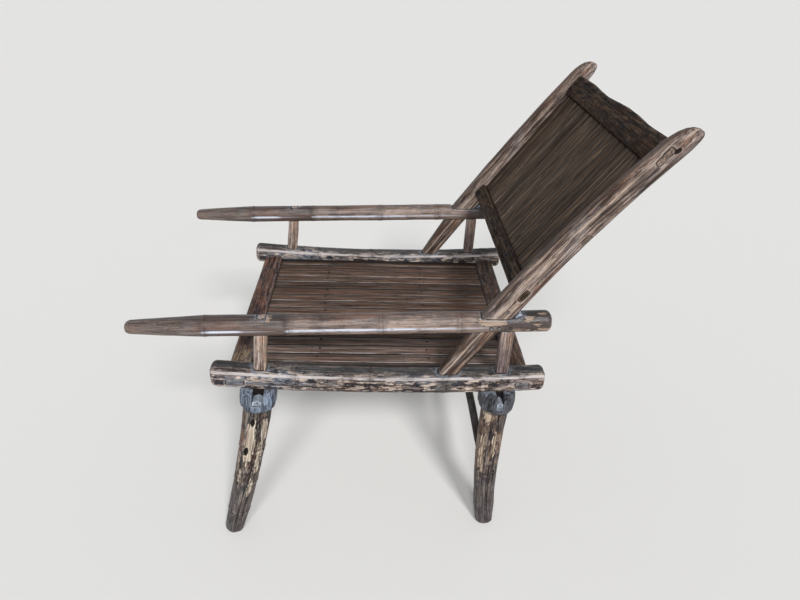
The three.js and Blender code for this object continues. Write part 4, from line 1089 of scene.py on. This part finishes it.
def stile_bow(side):
    """The sweep of a stile towards its tip."""
    run = STILE_LENGTH - SWEEP_START
    return lambda height: STILE_SWEEPS[side] * (np.clip(height - SWEEP_START, 0, 1) / run) ** 2


# One of these colours is that of the painted highlights along the front edges.
stile_skin = culm_finish(
    "polished_stile_bamboo", 8.0, gloss=0.4,
    colours=dict(
        dark=(0.04, 0.026, 0.022), middle=(0.145, 0.1, 0.082), light=(0.34, 0.255, 0.205),
        faded=(0.23, 0.2, 0.2), warm=(0.27, 0.125, 0.065), wear_and_highlight=(0.55, 0.46, 0.39),
        painted_highlight=(0.52, 0.42, 0.34), dull=(0.062, 0.036, 0.024),
    ),
    amounts=dict(
        faded=0.5, warm=0.4, wear_and_highlight=0.35, dust=0.2, flakes=0.25, stains=0.3, grooves=0.75, cracks=1.0,
        crevice=0.5,
    ),
)
for side, sign in SIDES.items():
    # Bands round each stile: painted highlights along both front edges, and dull bands on the front face
    # and towards the rear of the outer face.
    stile_highlight_and_dull_bands = [
        (-90 + 46 * sign, 11, 0.55), (-90 - 48 * sign, 9, 0.5),
        (-90 - 6 * sign, 32, -0.8), (90 - 30 * sign, 22, -0.8),
    ]
    worn_piece(
        f"{side}_back_stile", f"{side}_stile_culm", "backrest", "polished_stile_culm", stile_skin,
        CULM_CELL, BACK_FRAME, UPRIGHT, sign * HALF_SPAN, stile_bow(side),
        pits=mirrored(STILE_PITS, sign), highlight_and_dull_bands=stile_highlight_and_dull_bands, tones=STILE_TONES, seed=81 + sign,
    )

# Back rails. Dark flat bars between the stiles, wavy along the top one, with tenons through both.
# A groove in each takes the ends of the slats.
PANEL_FRAME = tilted((0, 0.230939, 0.603706), -39.4666)
BACK_RAILS = {
    "bottom": dict(seed=92, tones=[(0, 0)]),
    "top": dict(seed=91, tones=[(-0.268, 0.8), (-0.256, 0), (0.256, 0), (0.268, 0.8)]),
}
back_rail_skin = culm_finish(
    "dark_back_rail", 9.0, gloss=0.65, shine=0.06,
    colours=dict(
        dark=(0.004, 0.003, 0.002), middle=(0.012, 0.008, 0.005), light=(0.07, 0.045, 0.029),
        faded=(0.022, 0.015, 0.011), warm=(0.05, 0.023, 0.012), wear_and_highlight=(0.22, 0.15, 0.1),
        scraped=(0.06, 0.04, 0.025), bare=(0.19, 0.125, 0.08), soot_and_shade=(0.004, 0.003, 0.003),
        dust=(0.06, 0.055, 0.055), glow=(0.27, 0.2, 0.16),
    ),
    amounts=dict(faded=0.3, wear_and_highlight=0.35, dust=0.2, flakes=0.33, stains=0.5),
)
for place, own in BACK_RAILS.items():
    worn_piece(
        f"back_{place}_rail", f"back_{place}_rail_bar", "backrest", "dark_back_rail", back_rail_skin,
        CULM_CELL, PANEL_FRAME, CROSSWISE, 0, **own,
    )

# Back slats. Sixteen strips like those of the seat, darker, with their skin to the sitter.
# They stand in the grooves of the two back rails, and the batten behind them holds them flat.
BACK_SLATS = SEAT_SLATS | {"Pitch": 0.030825, "Length": 0.2819}
BACK_SLAT_PLACE = (0, 0.003, 0.0173)
BACK_SLAT_WIDTH = 0.0292
# The back slats take no painted light along the row, and their painted edge highlight and gap shade are
# darker.
BACK_SLAT_COLOURS = SEAT_SLAT_COLOURS | dict(
    dark=(0.014, 0.01, 0.007), middle=(0.052, 0.037, 0.027), light=(0.11, 0.081, 0.058),
    first=(1, 1, 1), last=(1, 1, 1), faded=(0.072, 0.057, 0.045), warm=(0.05, 0.028, 0.016),
    wear_and_highlight=(0.24, 0.185, 0.135), soot_and_shade=(0.003, 0.002, 0.002),
)
BACK_SLAT_AMOUNTS = SEAT_SLAT_AMOUNTS | dict(faded=0.3, wear_and_highlight=0.6, cracks=1.0, gap=0.0012, corner=0.3)
back_slat_skin = slat_finish(
    "dark_back_slats", 11.0, BACK_SLAT_COLOURS, BACK_SLAT_AMOUNTS, gloss=0.55, shine=0.1
)
back_slats = grown(
    slat_blank("back_slat_blank", BACK_SLAT_WIDTH, BACK_SLATS["Length"]),
    slat_tree, BACK_SLATS, back_slat_skin, "back_slat_row", PANEL_FRAME @ tilted(BACK_SLAT_PLACE, 90),
)
back_slat_nodes = [f"back_slat_{i + 1}" for i in range(BACK_SLATS["Count"])]
finish_piece(back_slats, "backrest", "back_slat_skin", back_slat_skin, *back_slat_nodes)

# Wedges. Loose tapered slips of the same grey softwood as the keys, pushed into the arm behind each
# stile to hold the back upright.
for side, sign in SIDES.items():
    worn_piece(
        f"{side}_stile_wedge", f"{side}_wedge_slip", f"{side}_wedge", "grey_soft_wood", key_wood,
        KEY_CELL, BACK_FRAME, UPRIGHT, sign * HALF_SPAN, seed=95,
    )

# Slat pins. Short iron pins with small domed heads, gone black, that hold the seat slats down on the two
# battens. A few more sit in the front crossrail and in the bottom rail of the back.
PIN_SIZES = {"Width": 0.0044, "Height": 0.002, "Rise": 0.0007, "Sides": 9, "Uneven": 0.2}
PIN_DRIFT = 0.003
PIN_ROWS = (0.198, 0.426)
CROSSRAIL_PINS = [
    (x, y, 0.05)
    for x, y in ((-0.1611, 0.0594), (-0.0519, 0.0506), (0.162, 0.047), (0.2008, 0.0468), (0.09, 0.036))
]
BACK_RAIL_PINS = [(x, -0.06, z) for x, z in ((-0.0933, -0.0024), (0.0218, -0.0026), (0.1255, 0.0021))]
DOWN, REARWARD = (0, 0, -1), (0, 1, 0)


def stud_shaping():
    """The tree that puts a domed head on each point, square to the surface."""
    tree, given, out = new_shape_tree("stud_heads", PIN_SIZES)
    half = given["Width"] * 0.5
    sizes = dict(Vertices=given["Sides"], Radius=half, Depth=given["Height"])
    sizes["Fill Segments"] = 3
    head = add_node(tree, "GeometryNodeMeshCylinder", sizes)["Mesh"]
    x, y, z = axes(add_node(tree, "GeometryNodeInputPosition")[0])
    reach = reckoned("DIVIDE", reckoned("SQRT", x * x + y * y), half)
    dome = (1.0 - reach * reach) * given["Rise"] * reckoned("GREATER_THAN", z, 0.0)
    head = stored(head, "reach", reach)
    head = shaped(head, "SetPosition", {"Offset": combined(0.0, 0.0, dome)})
    number = add_node(tree, "GeometryNodeInputIndex")[0]
    scale = random_between(number, 8, 1.0 - given["Uneven"], given["Uneven"] + 1.0)
    way = {"Vector": carried(tree, "facing", "FLOAT_VECTOR")}
    turn = add_node(tree, "FunctionNodeAlignRotationToVector", way, axis="Z")[0]
    row = instanced(given["Geometry"], head, "stud", Rotation=turn, Scale=scale)
    set_inputs(out, {0: shaped(row, "SetMaterial", {"Material": given["Material"]})})
    return tree


stud_tree = stud_shaping()


def stud_finish(name, centre, rim, rough, metal):
    """A small head, each its own shade, with a dark line round it."""
    material, tree = new_material(name)
    grain = noise(add_node(tree, "ShaderNodeTexCoord")["Object"], (900, 900, 900), 4.0, 0.65)
    own = add_node(tree, "ShaderNodeTexWhiteNoise", {"W": field(tree, "stud")}, noise_dimensions="1D")
    colour = mixed(rise(own["Value"] * 0.5 + grain, 0.4, 1.1), rim, centre)
    colour = mixed(rise(field(tree, "reach"), 0.55, 0.95), colour, rim)
    rough = grain * 0.3 + rough
    return surfaced(material, colour, rough, grain, depth=0.0002, others={"Metallic": metal})


def local_rays(piece, place, starts, aim):
    """Rays in the frame of a piece, as rays in the frame of the chair."""
    return [(piece, place @ Vector(start), place.to_3x3() @ Vector(aim)) for start in starts]


def add_studs(name, body, slot, rays, sizes, material):
    """Heads where rays meet their pieces, each square to the surface there."""
    bpy.context.view_layer.update()
    hits = [piece.ray_cast(start, aim) for piece, start, aim in rays]
    hits = [hit for hit in hits if hit[0]]
    spots = add_mesh(name + "_spots", [hit[1] for hit in hits], [])
    facing = spots.data.attributes.new("facing", "FLOAT_VECTOR", "POINT")
    facing.data.foreach_set("vector", np.array([hit[2] for hit in hits]).ravel())
    heads = grown(spots, stud_tree, sizes, material, name, Matrix.Identity(4))
    finish_piece(heads, body, slot, material)


pin_iron = stud_finish(
    "black_iron", centre=(0.02, 0.017, 0.016), rim=(0.003, 0.003, 0.003), rough=0.6, metal=0.15
)
shown = bpy.data.objects
pin_random = np.random.default_rng(12)
first_slat = -(SEAT_SLATS["Count"] - 1) / 2
slat_middles = [(i + first_slat) * SEAT_SLATS["Pitch"] for i in range(SEAT_SLATS["Count"])]
seat_pins = [
    (x + pin_random.uniform(-PIN_DRIFT, PIN_DRIFT), y + pin_random.uniform(-PIN_DRIFT, PIN_DRIFT), 0.03)
    for y, x in itertools.product(PIN_ROWS, slat_middles)
]
frame_pins = local_rays(seat_slats, SEAT_FRAME, seat_pins, DOWN)
frame_pins += local_rays(shown["front_crossrail_bar"], SEAT_FRAME, CROSSRAIL_PINS, DOWN)
back_pins = local_rays(shown["back_bottom_rail_bar"], PANEL_FRAME, BACK_RAIL_PINS, REARWARD)
add_studs("chair_frame_pins", "chair_frame", "seat_slat_skin", frame_pins, PIN_SIZES, pin_iron)
add_studs("backrest_pins", "backrest", "dark_back_rail", back_pins, PIN_SIZES, pin_iron)

# Pegs. Round hardwood pegs driven through the rails and arms to pin the posts, and through the stiles to
# pin the bottom rail of the back. Their ends are pared off almost flush.
PEG_SIZES = {"Width": 0.0068, "Height": 0.003, "Rise": 0.0006, "Sides": 12, "Uneven": 0.12}
RAIL_PEGS = ((0.0952, 0.0026), (0.5622, 0.0031))
ARM_PEGS = ((0.6732, -0.0041), (0.6873, -0.0034), (0.7087, -0.0038))
STILE_PEGS = ((-0.003, 0.0334),)
OUTSIDE = HALF_SPAN + 0.08
ARM_TOP_PEG = (HALF_SPAN + 0.008, 0.7082, 0.08)
peg_wood = stud_finish(
    "pared_peg_wood", centre=(0.2, 0.19, 0.2), rim=(0.015, 0.012, 0.012), rough=0.55, metal=0.0
)
peg_rays = {"chair_frame": [], "backrest": []}
for side, sign in SIDES.items():
    for body, culm, place, pegs in (
        ("chair_frame", "rail", SEAT_FRAME, RAIL_PEGS),
        ("chair_frame", "arm", ARM_FRAME, ARM_PEGS),
        ("backrest", "stile", BACK_FRAME, STILE_PEGS),
    ):
        starts = [(sign * OUTSIDE, *peg) for peg in pegs]
        peg_rays[body] += local_rays(shown[f"{side}_{culm}_culm"], place, starts, (-sign, 0, 0))
        if culm == "arm":
            top_peg = (sign * ARM_TOP_PEG[0], *ARM_TOP_PEG[1:])
            peg_rays[body] += local_rays(shown[f"{side}_arm_culm"], place, [top_peg], DOWN)
add_studs("chair_frame_pegs", "chair_frame", "rail_culm", peg_rays["chair_frame"], PEG_SIZES, peg_wood)
add_studs("backrest_pegs", "backrest", "polished_stile_culm", peg_rays["backrest"], PEG_SIZES, peg_wood)
